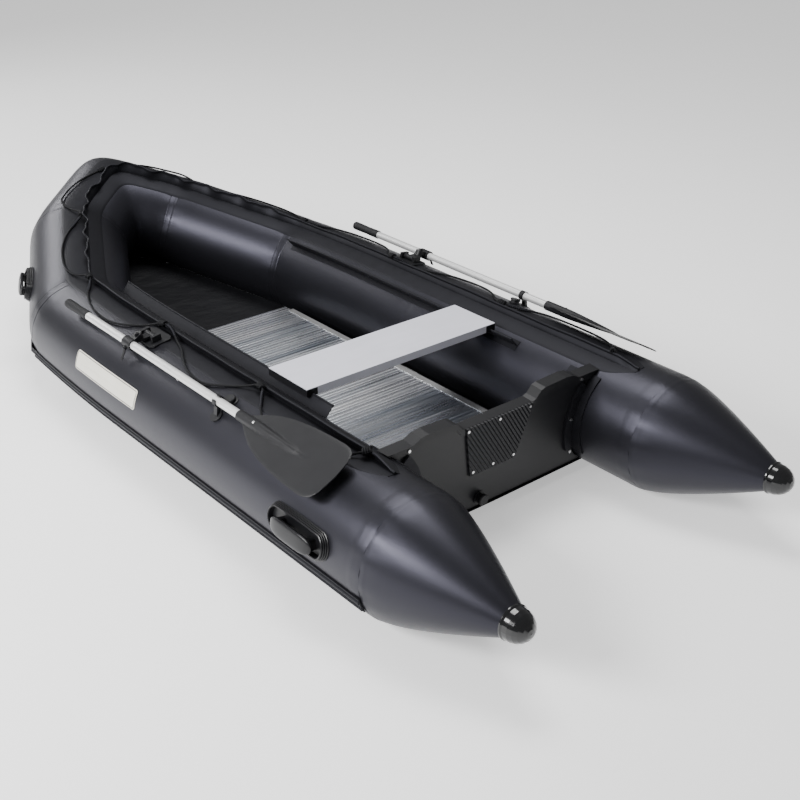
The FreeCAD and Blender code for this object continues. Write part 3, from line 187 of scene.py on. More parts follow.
SIDE = SideRun()
BOW = Run(SHOULDER, KNEE, BOW_FRAME, (SHOULDER_PLANE, KNEE_PLANE))
FRONT = Run(KNEE, NOSE, NOSE_FRAME, (KNEE_PLANE, NOSE_PLANE))
SIDES = {"starboard": 1.0, "port": -1.0}


def placed(points, side):
    """Points of the starboard side, moved to the row's frame and mirrored for port."""
    return (np.asarray(points) + np.array([0.0, STATION, 0.0])) * np.array([SIDES[side], 1.0, 1.0])


# ---- meshes from arrays ----


MERGE, SPECK = 2e-6, 1e-6
CREASE = 35.0


def to_mesh(name, points, faces, sharp=CREASE):
    """A smooth mesh of those points and faces, doubles merged, normals outwards."""
    mesh = bpy.data.meshes.new(name)
    mesh.from_pydata(points.tolist(), [], faces)
    work = bmesh.new()
    work.from_mesh(mesh)
    bmesh.ops.remove_doubles(work, verts=work.verts, dist=MERGE)
    bmesh.ops.dissolve_degenerate(work, edges=work.edges, dist=SPECK)
    bmesh.ops.recalc_face_normals(work, faces=work.faces)
    work.to_mesh(mesh)
    work.free()
    mesh.shade_smooth()
    mesh.set_sharp_from_angle(angle=math.radians(sharp))
    return mesh


def grid_faces(rows, columns, offset=0, wrap_rows=False):
    """Quads between neighbouring rows, each row a closed ring."""
    index = np.arange(rows * columns).reshape(rows, columns) + offset
    low = index if wrap_rows else index[:-1]
    high = np.roll(index, -1, axis=0) if wrap_rows else index[1:]
    sides = np.stack([low, np.roll(low, -1, axis=1), np.roll(high, -1, axis=1), high], axis=-1)
    return sides.reshape(-1, 4).tolist(), index


def lofted(name, rings, sharp=CREASE, wrap=False):
    """Rings joined in turn: rings[i, j] is point j of ring i. Open ends are closed with a fan."""
    rings = np.asarray(rings, float)
    count, around = rings.shape[:2]
    faces, index = grid_faces(count, around, wrap_rows=wrap)
    points = rings.reshape(-1, 3)
    if not wrap:
        middle = np.stack([rings[0].mean(axis=0), rings[-1].mean(axis=0)])
        points = np.concatenate([points, middle])
        for ring, pole in ((index[0], count * around), (index[-1], count * around + 1)):
            fan = np.stack([ring, np.roll(ring, -1), np.full(around, pole)], axis=-1)
            faces += fan.tolist()
    return to_mesh(name, points, faces, sharp)


def joined(name, meshes):
    """Several meshes as one."""
    work = bmesh.new()
    for mesh in meshes:
        work.from_mesh(mesh)
    whole = bpy.data.meshes.new(name)
    work.to_mesh(whole)
    work.free()
    whole.shade_smooth()
    whole.set_sharp_from_angle(angle=math.radians(CREASE))
    return whole


def piece(name, mesh, finish, body="hull", stands_for=()):
    """A finished object on its body, in its finish, standing for CAD nodes."""
    mesh.name = name
    thing = bpy.data.objects.new(name, mesh)
    bpy.context.scene.collection.objects.link(thing)
    mesh.materials.append(finish)
    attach(thing, body)
    if stands_for:
        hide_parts(*stands_for)
    return thing


def full_turn(count):
    """Equal angles once round, the last one short of the first."""
    return np.linspace(0, 2 * np.pi, count, endpoint=False)


def beside(path):
    """Two directions square to the path at each point: the level one, and the one over it."""
    aim = unit(np.gradient(path, axis=0))
    level = unit(np.cross(aim, UP))
    return level, np.cross(level, aim)


def rings_on(path, radius, turn):
    """Rings about a path: ring i is path[i] + r(i, a)(level cos a + over sin a)."""
    level, over = (way[:, None] for way in beside(path))
    ring = level * np.cos(turn)[None, :, None] + over * np.sin(turn)[None, :, None]
    return path[:, None] + ring * np.broadcast_to(radius, (len(path), len(turn)))[..., None]


def swept(name, path, radius, around=12):
    """A tube on a path. radius is a number or an array of one value per ring and turn."""
    return lofted(name, rings_on(path, radius, full_turn(around)), 60.0)


def on_tube(run, d, angle, off=0.0):
    """Origin, tangent across (growing with the angle) and outward direction on the fabric."""
    origin = run.at(d, angle, off)
    _, out, up, _ = run.axis(d)
    angle = np.broadcast_to(angle, np.shape(d))[..., None]
    sine, cosine = np.sin(angle), np.cos(angle)
    return origin, out * cosine - up * sine, out * sine + up * cosine


# ---- shader maths ----


class Wire:
    """A socket that takes part in sums: arithmetic on it adds Math nodes to its tree."""

    def __init__(self, socket):
        self.socket = socket

    def maths(self, operation, *others):
        """A Math node on this wire and the others."""
        tree = self.socket.id_data
        node = tree.nodes.new("ShaderNodeMath")
        node.operation = operation
        for slot, value in zip(node.inputs, (self, *others)):
            plug(slot, value)
        return Wire(node.outputs[0])

    def __add__(self, other):
        return self.maths("ADD", other)

    __radd__ = __add__

    def __sub__(self, other):
        return self.maths("SUBTRACT", other)

    def __rsub__(self, other):
        return self.maths("MULTIPLY", -1.0).maths("ADD", other)

    def __mul__(self, other):
        return self.maths("MULTIPLY", other)

    __rmul__ = __mul__

    def sine(self):
        """The sine of a wire in radians."""
        return self.maths("SINE")


def plug(slot, value):
    """Link a wire to a socket, or set the socket's own value."""
    if isinstance(value, Wire):
        value.socket.id_data.links.new(value.socket, slot)
    else:
        slot.default_value = value


class Finish:
    """One finish: a Principled material, and the calls that build what varies over it."""

    def __init__(self, name, **constants):
        self.material = bpy.data.materials.new(name)
        self.material.use_nodes = True
        self.tree = self.material.node_tree
        self.shader = self.tree.nodes["Principled BSDF"]
        for socket, value in constants.items():
            self.shader.inputs[socket.replace("_", " ")].default_value = value
        self.place = self.add("ShaderNodeTexCoord", take="Object")

    def add(self, kind, settings=(), take=0, **values):
        """Any node: its type, then its settings, then its sockets' values or links."""
        node = self.tree.nodes.new(kind)
        for setting, value in dict(settings).items():
            if setting == "stops":
                self.set_stops(node.color_ramp, value)
            else:
                setattr(node, setting, value)
        for socket, value in values.items():
            plug(node.inputs[socket.replace("_", " ")], value)
        return Wire(node.outputs[take])

    @staticmethod
    def set_stops(ramp, stops):
        for index, (position, colour) in enumerate(stops):
            stop = ramp.elements[index] if index < 2 else ramp.elements.new(position)
            stop.position, stop.color = position, colour

    def noise(self, scale, detail=4.0, roughness=0.5, vector=None):
        """Fractal noise, on Object coordinates unless another vector is given."""
        values = {"Scale": scale, "Detail": detail, "Roughness": roughness}
        return self.add("ShaderNodeTexNoise", Vector=vector or self.place, **values)

    def stretched(self, x, y, z):
        """Object coordinates scaled along each axis."""
        return self.add("ShaderNodeMapping", Vector=self.place, Scale=(x, y, z))

    def ramp(self, value, *stops):
        """Colour by value, from (position, colour) stops in rising order."""
        return self.add("ShaderNodeValToRGB", {"stops": stops}, Fac=value)

    def mix(self, factor, first, second):
        """Two colours mixed by a factor. Its sockets share names, so they go by number."""
        node = self.tree.nodes.new("ShaderNodeMix")
        node.data_type = "RGBA"
        for slot, value in ((0, factor), (6, first), (7, second)):
            plug(node.inputs[slot], value)
        return Wire(node.outputs[2])

    def axis(self, letter, vector=None):
        """One coordinate, by its letter."""
        return self.add("ShaderNodeSeparateXYZ", take=letter, Vector=vector or self.place)

    def colour(self, value):
        plug(self.shader.inputs["Base Color"], value)

    def roughness(self, value):
        plug(self.shader.inputs["Roughness"], value)

    def bump(self, height, distance, strength=1.0, normal=None):
        """Relief on the shader's normal, laid over an earlier relief if one is given."""
        values = {"Height": height, "Distance": distance, "Strength": strength}
        if normal:
            values["Normal"] = normal
        wire = self.add("ShaderNodeBump", **values)
        plug(self.shader.inputs["Normal"], wire)
        return wire


INK = (0.93, 0.94, 1.12)  # the bluish cast of every black here


def grey(value, tint=(1.0, 1.0, 1.0)):
    """An opaque colour: one value, tinted."""
    return (value * tint[0], value * tint[1], value * tint[2], 1.0)


def tube_fabric():
    """Coated fabric: near black, a fine weave under the coat, faint scuffs and cloudy gloss."""
    look = Finish("coated_fabric", Specular_IOR_Level=0.46, Specular_Tint=(0.80, 0.79, 1.0, 1.0))
    cloud = look.noise(2.2, 5.0, 0.55)
    scuff = look.noise(38.0, 6.0, 0.7)
    look.colour(look.mix(cloud, grey(0.0045, INK), grey(0.0085, INK)))
    look.roughness(0.30 + cloud * 0.10 + scuff * 0.08)
    threads = 2600  # radians of weave in a metre
    weave = (look.axis("X") * threads).sine() * (look.axis("Y") * threads).sine()
    fine = look.bump(scuff * 0.6 + weave * 0.25, 0.00035, 0.35)
    slack = look.noise(3.1, 2.0, 0.4, look.stretched(1.0, 0.35, 1.0))
    look.bump(slack, 0.010, 0.30, fine)
    return look.material


def strip_rubber():
    """Welded strips: a shade lighter and flatter than the tubes, finely grained."""
    look = Finish("welded_strip", Specular_IOR_Level=0.20, Specular_Tint=(0.86, 0.86, 1.0, 1.0))
    cloud = look.noise(24.0, 5.0, 0.6)
    look.colour(look.mix(cloud, grey(0.005, INK), grey(0.011, INK)))
    look.roughness(0.44 + cloud * 0.16)
    look.bump(look.noise(420.0, 2.0), 0.0004, 0.4)
    return look.material


def bottom_fabric():
    """The floor of the hull: heavier matt fabric, dusted in its folds."""
    look = Finish("bottom_fabric", Specular_IOR_Level=0.16)
    cloud = look.noise(6.0, 6.0, 0.6)
    look.colour(look.mix(cloud, grey(0.005, INK), grey(0.012, INK)))
    look.roughness(0.5 + cloud * 0.2)
    folds = look.noise(5.0, 3.0, 0.5, look.stretched(1.0, 2.4, 1.0))
    fine = look.bump(look.noise(600.0, 2.0), 0.0004, 0.4)
    look.bump(folds, 0.03, 0.5, fine)
    return look.material


def brushed(name, stretch, low, high, rough, tint=(1.0, 1.0, 1.0), streaks=1.0, metal=1.0):
    """Brushed or extruded metal: fine streaks along its length, cloudy oxide, a few scratches."""
    look = Finish(name, Metallic=metal)
    streak = look.noise(90.0, 6.0, 0.7, look.stretched(*stretch))
    cloud = look.noise(7.0, 4.0, 0.55)
    look.colour(look.mix(streak * 0.55 + cloud * 0.45, grey(low, tint), grey(high, tint)))
    look.roughness(rough + streak * 0.16 * streaks + cloud * 0.06)
    look.bump(streak, 0.0004, 0.18 * streaks)
    return look.material


def floor_metal():
    """Mill-bright extrusions: streaks across the boat, and bluish bands of painted reflection from
    slat to slat.
    """
    look = Finish("bright_slats", Metallic=1.0)
    streak = look.noise(70.0, 6.0, 0.7, look.stretched(0.03, 1.0, 1.0))
    # painted reflection: bands across the boat that run the metal's colour from dark bluish to
    # bright
    painted_reflection_band = look.noise(11.0, 2.0, 0.5, look.stretched(0.10, 1.0, 0.2))
    streak_and_painted_reflection_tone = look.ramp(
        painted_reflection_band * 0.86 + streak * 0.14,
        (0.36, (0.34, 0.38, 0.45, 1.0)),
        (0.47, (0.70, 0.73, 0.78, 1.0)),
        (0.62, (0.92, 0.93, 0.96, 1.0)),
    )
    look.colour(streak_and_painted_reflection_tone)
    look.roughness(0.20 + streak * 0.16)
    look.bump(streak, 0.0003, 0.2)
    return look.material


def moulded(name, shade, rough, grain=0.35, tint=INK, specular=0.32, coat=0.0):
    """Moulded plastic: fine orange peel, slightly paler where it is handled."""
    look = Finish(name, Specular_IOR_Level=specular, Coat_Weight=coat, Coat_Roughness=0.08)
    cloud = look.noise(30.0, 5.0, 0.6)
    look.colour(look.mix(cloud, grey(shade * 0.85, tint), grey(shade * 1.35, tint)))
    look.roughness(rough + cloud * 0.10)
    look.bump(look.noise(900.0, 3.0, 0.6), 0.00025, grain)
    return look.material


def transom_board():
    """Lacquered board in black laminate: faint long grain under the lacquer."""
    look = Finish("lacquered_board", Specular_IOR_Level=0.30)
    grain = look.noise(60.0, 6.0, 0.65, look.stretched(0.18, 1.0, 1.0))
    look.colour(look.mix(grain, grey(0.005, INK), grey(0.012, INK)))
    look.roughness(0.30 + grain * 0.16)
    look.bump(grain, 0.0005, 0.25)
    return look.material


def ribbed_plate():
    """Plastic pad with fine slanting ribs across its face."""
    look = Finish("ribbed_plate", Specular_IOR_Level=0.30)
    pitch = 0.0125
    slant = look.axis("X") * 0.82 + look.axis("Z") * 0.57
    rib = (slant * (2 * math.pi / pitch)).sine()
    cloud = look.noise(40.0, 4.0)
    look.colour(look.mix(cloud, grey(0.008, INK), grey(0.018, INK)))
    look.roughness(0.42 + cloud * 0.12)
    look.bump(rib, 0.0018, 0.9)
    return look.material


def cream_plate():
    """Blank badge film: warm pale plastic with a slight haze."""
    look = Finish("blank_film", Specular_IOR_Level=0.45)
    cloud = look.noise(12.0, 4.0, 0.5)
    look.colour(look.mix(cloud, (0.66, 0.64, 0.56, 1.0), (0.78, 0.76, 0.68, 1.0)))
    look.roughness(0.34 + cloud * 0.14)
    look.bump(look.noise(500.0, 2.0), 0.0002, 0.25)
    return look.material


def plaited_rope():
    """Plaited cord: two sets of strands crossing, read from the cord's own map along its length.
    Its colour holds painted shade in the hollows between the strands.
    """
    look = Finish("plaited_rope", Specular_IOR_Level=0.15)
    place = look.add("ShaderNodeUVMap", {"uv_map": "along"})
    along, around = look.axis("X", place), look.axis("Y", place)
    strands, crossings = 2 * math.pi, 4
    left = (along * strands + around * strands * crossings).sine()
    right = (along * strands - around * strands * crossings).sine()
    plait = left * right
    # painted shade: the cord is darker in the hollows of the plait and paler on its crowns
    look.colour(look.mix(plait * 0.5 + 0.5, grey(0.003, INK), grey(0.012, INK)))
    look.roughness(0.62 + plait * 0.08)
    look.bump(plait, 0.0008, 0.7)
    return look.material


FABRIC, STRIP, UNDER = tube_fabric(), strip_rubber(), bottom_fabric()
FLOOR_METAL = floor_metal()
RAIL_METAL = brushed("drawn_stringer", (1.0, 0.04, 1.0), 0.45, 0.72, 0.34)
COOL = (0.96, 0.96, 1.06)
BENCH_METAL = brushed("anodised_bench", (0.06, 1.0, 1.0), 0.70, 0.86, 0.40, COOL, metal=0.35)
SHAFT_METAL = brushed("satin_shaft", (1.0, 0.03, 1.0), 0.68, 0.86, 0.30, metal=0.6)
SCREW_METAL = brushed("bright_screw", (1.0, 1.0, 1.0), 0.60, 0.85, 0.22)
BLACK_PLASTIC = moulded("moulded_black", 0.007, 0.40)
GLOSS_PLASTIC = moulded("glossy_black", 0.004, 0.12, 0.05, coat=0.6)
BLADE_PLASTIC = moulded("blade_black", 0.008, 0.40, 0.3)
HANDLE_PLASTIC = moulded("handle_black", 0.006, 0.26, 0.15)
GRIP_RUBBER = moulded("grip_rubber", 0.006, 0.55, 0.6)
BOARD, PLATE, CREAM, ROPE = transom_board(), ribbed_plate(), cream_plate(), plaited_rope()

# ---- lifelines ----

ROPE_RADIUS = 0.004
ROPE_STEP = 0.002  # between the rings of the rope's mesh
PLAIT = 0.011  # length of one plait
OFF, LIFT, TIE_ANGLE = 0.007, 0.033, -9  # height of the loops and ties off the fabric


def spot(run, d, angle, off=OFF):
    """A point at a distance in metres and an angle in degrees, straight off the tube's axis."""
    centre, out, up, _ = run.axis(np.array(d))
    sine, cosine = math.sin(math.radians(angle)), math.cos(math.radians(angle))
    if run is SIDE:
        out = np.array([1.0, 0.0, 0.0])
        centre[0] = HALF_GAP - BEND_RADIUS * (1 - math.cos(max(d - SHEER, 0) / BEND_RADIUS))
    return centre + (out * sine + up * cosine) * (TUBE + off)


TIES = [spot(SIDE, y, TIE_ANGLE, LIFT) for y in (-0.030, 0.530, 1.170, 1.760)]
TIES += [spot(BOW, 0.530, TIE_ANGLE, LIFT), spot(FRONT, 0.300, -2)]
SIDE_LOOPS = [
    [(0.010, 3), (0.065, 14), (0.140, 22), (0.235, 25), (0.330, 23), (0.410, 16), (0.475, 3)],
    [(0.595, 1), (0.655, 13), (0.730, 22), (0.820, 20), (0.900, 12), (0.975, 1), (1.040, -4)],
    [(1.230, 0), (1.290, 13), (1.365, 20), (1.455, 21), (1.550, 18), (1.640, 10), (1.705, -1)],
]
BOW_LOOP = [(0.045, 5), (0.120, 14), (0.215, 17), (0.310, 16), (0.400, 10), (0.470, 1)]
SLACK = [[spot(SIDE, y, angle) for y, angle in loop] for loop in SIDE_LOOPS]
SLACK[1].append(spot(SIDE, 1.105, -9, LIFT - 0.001))
SLACK.append([spot(BOW, d, angle) for d, angle in BOW_LOOP])
NOSE_LOOP = [(0.090, 22), (0.165, 19), (0.235, 9)]
SLACK.append([spot(BOW, 0.600, 6), spot(BOW, 0.686, 17, OFF + 0.002)])
SLACK[-1] += [spot(FRONT, d, angle) for d, angle in NOSE_LOOP]
ROUTE = [point for tie, loop in zip(TIES, SLACK) for point in (tie, *loop)] + [TIES[-1]]


def smooth_line(points):
    """The points of the smooth spline that has those control points, in order."""
    data = bpy.data.curves.new("route", "CURVE")
    data.dimensions = "3D"
    data.resolution_u = 24  # points of the line for each span of the spline
    spline = data.splines.new("NURBS")
    spline.points.add(len(points) - 1)
    spline.points.foreach_set("co", np.c_[points, np.ones(len(points))].ravel())
    spline.order_u = 3
    spline.use_endpoint_u = True
    holder = bpy.data.objects.new("route", data)
    bpy.context.scene.collection.objects.link(holder)
    mesh = bpy.data.meshes.new_from_object(holder)
    line = np.empty(len(mesh.vertices) * 3)
    mesh.vertices.foreach_get("co", line)
    bpy.data.objects.remove(holder)
    bpy.data.curves.remove(data)
    bpy.data.meshes.remove(mesh)
    return line.reshape(-1, 3)


def read_at(places, known, line):
    """Points of a line at some places, from the places known for its own points."""
    return np.stack([np.interp(places, known, line[:, k]) for k in range(3)], axis=-1)


def evenly(line, step):
    """The line at equal steps of its own length, with the length at each point."""
    gaps = np.linalg.norm(np.diff(line, axis=0), axis=1)
    run = np.concatenate([[0.0], np.cumsum(gaps)])
    stations = np.linspace(0, run[-1], int(round(run[-1] / step)) + 1)
    return read_at(stations, run, line), stations


def stretch_of(line, stations, start, end):
    """The part of the line between two lengths along it."""
    return line[(stations >= start) & (stations <= end)]


def map_along(mesh, around, pitch):
    """A map for a swept tube of quads: lengths over the pitch one way, turns round it the other.
    Corners of the last quad round take the turn 1 in place of 0."""
    layer = mesh.uv_layers.new(name="along")
    corner = np.empty(len(mesh.loops), np.int32)
    mesh.loops.foreach_get("vertex_index", corner)
    ring, turn = corner // around, corner % around
    last_turn = np.repeat(np.maximum.reduceat(turn, np.arange(0, len(turn), 4)), 4)
    seam = (last_turn == around - 1) & (turn == 0)
    uv = np.stack([ring * pitch, np.where(seam, around, turn) / around], axis=-1)
    layer.data.foreach_set("uv", uv.astype(np.float32).ravel())


def rope_mesh(name, line, around=10):
    """The cord's tube: r = r0 (1 + 0.07 sin(s + 2a) sin(s - 2a)) at length s in plaits and angle
    a, with its ends drawn to points."""
    turn = full_turn(around)
    along = np.arange(len(line))[:, None] * ROPE_STEP * 2 * np.pi / PLAIT
    plait = 1 + 0.07 * np.sin(along + 2 * turn) * np.sin(along - 2 * turn)
    taper = np.ones(len(line))
    taper[[0, -1]] = 0.05
    points = rings_on(line, ROPE_RADIUS * plait * taper[:, None], turn).reshape(-1, 3)
    faces, _ = grid_faces(len(line), around)
    mesh = bpy.data.meshes.new(name)
    last = (len(line) - 1) * around
    caps = [list(range(around))[::-1], list(range(last, last + around))]
    mesh.from_pydata(points.tolist(), [], faces + caps)
    mesh.shade_smooth()
    map_along(mesh, around, ROPE_STEP / PLAIT)
    return mesh


def lashing(name, line, stations, middle, length, turns, radius, wire):
    """A binding wound round the cord: a helix of that radius about the line, of a thinner cord
    whose own radius is wire."""
    core = stretch_of(line, stations, middle - length / 2, middle + length / 2)
    samples = np.linspace(0, len(core) - 1, turns * 14)
    centre = read_at(samples, np.arange(len(core)), core)
    level, over = beside(centre)
    turn = np.linspace(0, 2 * np.pi * turns, len(samples))[:, None]
    return swept(name, centre + (level * np.cos(turn) + over * np.sin(turn)) * radius, wire, 8)


def ridged_sleeve(name, line, stations, start, end):
    """A ribbed sleeve on the cord: radius steps between root and ridge along its length."""
    core = stretch_of(line, stations, start, end)
    along = np.arange(len(core)) * ROPE_STEP
    pitch, mouth = 0.008, 0.012
    swell = np.sqrt(np.clip(np.minimum(along, along[::-1]) / mouth, 0.02, 1))
    radius = (0.0056 + 0.0013 * np.sin(along * 2 * np.pi / pitch)) * swell
    return swept(name, core, radius[:, None])


def make_lifelines():
    """Each side's rope, with a lashing at every tie and a sleeve before all but the end ones."""
    knot_length = 0.032
    for side in SIDES:
        line, stations = evenly(smooth_line(placed(ROUTE, side)), ROPE_STEP)
        ties = placed(TIES, side)
        near = [float(stations[np.argmin(np.linalg.norm(line - tie, axis=1))]) for tie in ties]
        knots, sleeves = [], []
        for number, at in enumerate(near):
            at = min(max(at, knot_length / 2), stations[-1] - knot_length / 2)
            knots.append(
                lashing("knot", line, stations, at, knot_length, 4, radius=0.0085, wire=0.0042)
            )
            if 0 < number < len(near) - 1:
                sleeves.append(ridged_sleeve("sleeve", line, stations, at - 0.115, at - 0.022))
        knot = piece(f"lifeline_knots_{side}", joined("knots", knots), ROPE)
        sleeve = piece(f"lifeline_sleeves_{side}", joined("sleeves", sleeves), STRIP)
        cord = rope_mesh("rope", line)
        rope = piece(f"rope_{side}", cord, ROPE, stands_for=[f"lifeline_{side}"])


make_lifelines()

# ---- air tubes ----

AROUND = 96
TURN = full_turn(AROUND)
TUBE_STEP = 0.010
INNER_SEAM = 0.93  # a lap on the inboard side only


def seam_dip(gap):
    """How far the fabric is drawn in near a welded seam, by the distance to it."""
    return -0.0022 * np.exp(-((gap / 0.035) ** 2))


ROUNDING = 0.045  # width of the bell curve


def rounded(rows, step):
    """Rows averaged with their neighbours under a bell curve, so that the seams' corners are
    round. Past the nose the rows are the mirrored port ones. Past the start they run straight
    on."""
    rows = np.asarray(rows)
    reach = int(3 * ROUNDING / step)
    mirror = rows[-reach - 1 : -1][::-1] * np.array([-1.0, 1.0, 1.0])
    before = 2 * rows[:1] - rows[1 : reach + 1][::-1]
    padded = np.concatenate([before, rows, mirror])
    bell = np.exp(-0.5 * (np.arange(-reach, reach + 1) * step / ROUNDING) ** 2)
    bell /= bell.sum()
    flat = padded.reshape(len(padded), -1)
    smooth = np.stack([np.convolve(column, bell, "valid") for column in flat.T], axis=-1)
    return smooth.reshape(rows.shape)


def along_runs(start, step):
    """Each run with the distances along it, from a start on the side tube to the nose."""
    yield SIDE, np.arange(start, SHOULDER[1] - step / 4, step)
    yield BOW, np.linspace(0, BOW.span, int(BOW.span / step) + 1)[:-1]
    yield FRONT, np.linspace(0, FRONT.span, int(FRONT.span / step) + 1)


def chain(make, start, step):
    """Rows of every run in turn, from make(run, distance, length from the start)."""
    rows, base = [], 0.0
    for run, d in along_runs(start, step):
        rows.append(make(run, d, base + d - d[0]))
        base += run.span if run is not SIDE else SHOULDER[1] - start
    return np.concatenate(rows)


SHOULDER_AT = SHOULDER[1] - CONE_SEAM
KNEE_AT = SHOULDER_AT + BOW.span


def lap(gap):
    """A welded lap: 1 mm proud on its 40 mm, with a fine groove at each edge."""
    half = 0.020
    proud = 0.0010 / (1 + np.exp((np.abs(gap) - half) / 0.0012))
    groove = 0.0009 * np.exp(-(((np.abs(gap) - half - 0.001) / 0.0022) ** 2))
    return proud - groove


def tube_skin():
    """Rings of the side, bow and nose in one: the rounded run plus laps and faint puckers at the
    seams, each as a height along the line out from the tube's axis. Rings are closer at a seam."""
    step = TUBE_STEP

    def at_height(off):
        """The whole rounded run of rings at a height off the fabric."""
        rows = chain(lambda run, d, full: run.at(d[:, None], TURN[None], off), CONE_SEAM, step)
        return rounded(rows, step)

    low = at_height(0.0)
    full = np.arange(len(low)) * step
    near = np.arange(-0.03, 0.0301, 0.002)
    fine = np.unique(np.concatenate([full, SHOULDER_AT + near, KNEE_AT + near]))
    fine = fine[(fine >= 0) & (fine <= full[-1])]
    out = unit(at_height(0.01) - low)
    place = np.clip(np.searchsorted(full, fine) - 1, 0, len(full) - 2)
    part = ((fine - full[place]) / step)[:, None, None]
    low = low[place] * (1 - part) + low[place + 1] * part
    out = unit(out[place] * (1 - part) + out[place + 1] * part)
    height = np.zeros((len(fine), AROUND))
    for at in (0.0, SHOULDER_AT, KNEE_AT):
        gap = fine - at
        pucker = 0.0008 * np.exp(-((gap / 0.06) ** 2))[:, None] * np.sin(TURN * 19 + at)[None]
        height += (seam_dip(gap) + lap(gap - (0.024 if at == 0 else 0)))[:, None] + pucker
    inside = np.clip(-np.sin(TURN), 0, 1) ** 2
    gap = fine - (INNER_SEAM - CONE_SEAM)
    height += (lap(gap) + seam_dip(gap))[:, None] * inside[None]
    return low + out * height[..., None]


def cone_rings():
    """The stern cone: rings shrink from the tube to the tip on a slightly full line."""
    low, high = np.array([HALF_GAP, CONE_SEAM, TUBE]), np.array([0.583, -0.700, 0.227])
    tip = 0.0395
    part = np.linspace(0, 1, 70)
    near = part * (low[1] - high[1])
    radius = TUBE + (tip - TUBE) * part**1.22 + seam_dip(near)
    for at in (0.012, 0.020):
        radius = radius + 0.0008 * np.exp(-(((near - at) / 0.002) ** 2))
    centre = low + (high - low) * part[:, None]
    ring = np.stack([np.sin(TURN), 0 * TURN, np.cos(TURN)], axis=-1)
    pucker = 0.0009 * np.exp(-((near / 0.06) ** 2))[:, None] * np.sin(TURN * 17)[None, :]
    return centre[:, None] + ring[None] * (radius[:, None] + pucker)[..., None]


def make_tubes():
    """Each side's tubes as one skin, and its stern cone."""
    for side in SIDES:
        nodes = [f"{stem}_tube_{side}" for stem in ("side", "bow", "nose")]
        tube = lofted("tube", placed(tube_skin(), side), 50.0)
        piece(f"tube_fabric_{side}", tube, FABRIC, stands_for=nodes)
        cone = lofted("cone", placed(cone_rings(), side), 50.0)
        piece(f"cone_fabric_{side}", cone, FABRIC, stands_for=[f"stern_cone_{side}"])


make_tubes()

# ---- gunwale ----

STRIP_AFT = -0.145  # the strip's aft end, from the transom
BOW_START = SHOULDER[1] - STRIP_AFT - 0.10  # along the strip, where the flap starts to rise
FLAP_FOOT = np.radians(-13)
HEM, WALL = 0.0040, 0.0012  # half the hem's and half the flap's thickness


def base_strip(run, d, full):
    """The glued strip's section: an arc from 31 degrees inboard to 12 outboard, or 17 round the
    bow, 1.6 mm off the fabric and thinner at its edges, with its underside 3 mm inside. It
    narrows to its aft end as the square root of the distance from it."""
    share = np.linspace(0, 1, 27)
    open_up = np.clip(full / 0.10, 0, 1) ** 0.5
    inner = np.radians(-31 + 17 * (1 - open_up))
    outer = np.radians(12 + 5 * np.clip((full - BOW_START) / 0.3, 0, 1) - 13 * (1 - open_up))
    angle = inner[:, None] + (outer - inner)[:, None] * share
    lip = np.clip(np.minimum(share, 1 - share) / 0.03, 0, 1) ** 0.5
    top = run.at(d[:, None], angle, 0.0024 * lip - 0.0008)
    below = run.at(d[:, None], angle[:, ::-1], -0.003)
    return np.concatenate([top, below], axis=1)


def grown_by(full, length):
    """From 0 before the bow to 1 a length further on, eased at both ends."""
    return 0.5 - 0.5 * np.cos(np.pi * np.clip((full - BOW_START) / length, 0, 1))


def flap_height(full):
    """The flap stands 24 mm along the side, grows to 40 mm round the bow, and fades in aft."""
    grown = grown_by(full, 0.35)
    return (0.024 + 0.016 * grown) * np.clip(full / 0.09, 0.15, 1) ** 0.7


def flap_wave(full):
    """Sideways waves of the free edge: slight along the side, deep and uneven round the bow."""
    small = 0.0016 * np.sin(full * 9.0) + 0.0010 * np.sin(full * 23 + 1.3)
    deep = 0.0085 * np.sin(full * 33 + 0.6) + 0.0040 * np.sin(full * 71 + 2.0)
    return small + deep * grown_by(full, 0.4)


def flap(step=0.005):
    """The flap's section: a wall that leans over, ending in a sewn rope hem. Across and off the
    fabric at height share p, it is lean p^1.5 and top p."""

    def frames(which):
        """The foot's origin, across or off, rounded as the tubes are."""
        rows = chain(
            lambda run, d, full: on_tube(run, d, FLAP_FOOT, 0.0005)[which], STRIP_AFT, step
        )
        return rounded(rows, step)

    full = chain(lambda run, d, full: full, STRIP_AFT, step)
    origin, across, off = (frames(which) for which in range(3))
    top = flap_height(full) - HEM
    lean = 0.016 + flap_wave(full)
    part = np.linspace(0, 1, 9)
    left = np.stack([lean[:, None] * part**1.5 - WALL, top[:, None] * part], axis=-1)
    right = np.stack([lean[:, None] * part**1.5 + WALL, top[:, None] * part], axis=-1)[:, ::-1]
    turn = np.radians(np.linspace(197, -17, 11))
    bulb = np.stack([np.cos(turn), np.sin(turn)], axis=-1) * HEM
    bulb = np.stack([lean, top + 0.8 * HEM], axis=-1)[:, None] + bulb[None]
    section = np.concatenate([left[:, :-1], bulb, right[:, 1:]], axis=1)
    return origin[:, None] + across[:, None] * section[..., :1] + off[:, None] * section[..., 1:]


def make_gunwales():
    """Each side's glued strip and standing flap, as one piece."""
    for side in SIDES:
        rows = rounded(chain(base_strip, STRIP_AFT, TUBE_STEP), TUBE_STEP)
        base = lofted("base", placed(rows, side), 50.0)
        upright = lofted("flap", placed(flap(), side), 70.0)
        whole = joined("gunwale", [base, upright])
        piece(f"gunwale_{side}", whole, STRIP, stands_for=[f"gunwale_strip_{side}"])


make_gunwales()

# ---- floor ----


SLATS = 9  # in each floor panel


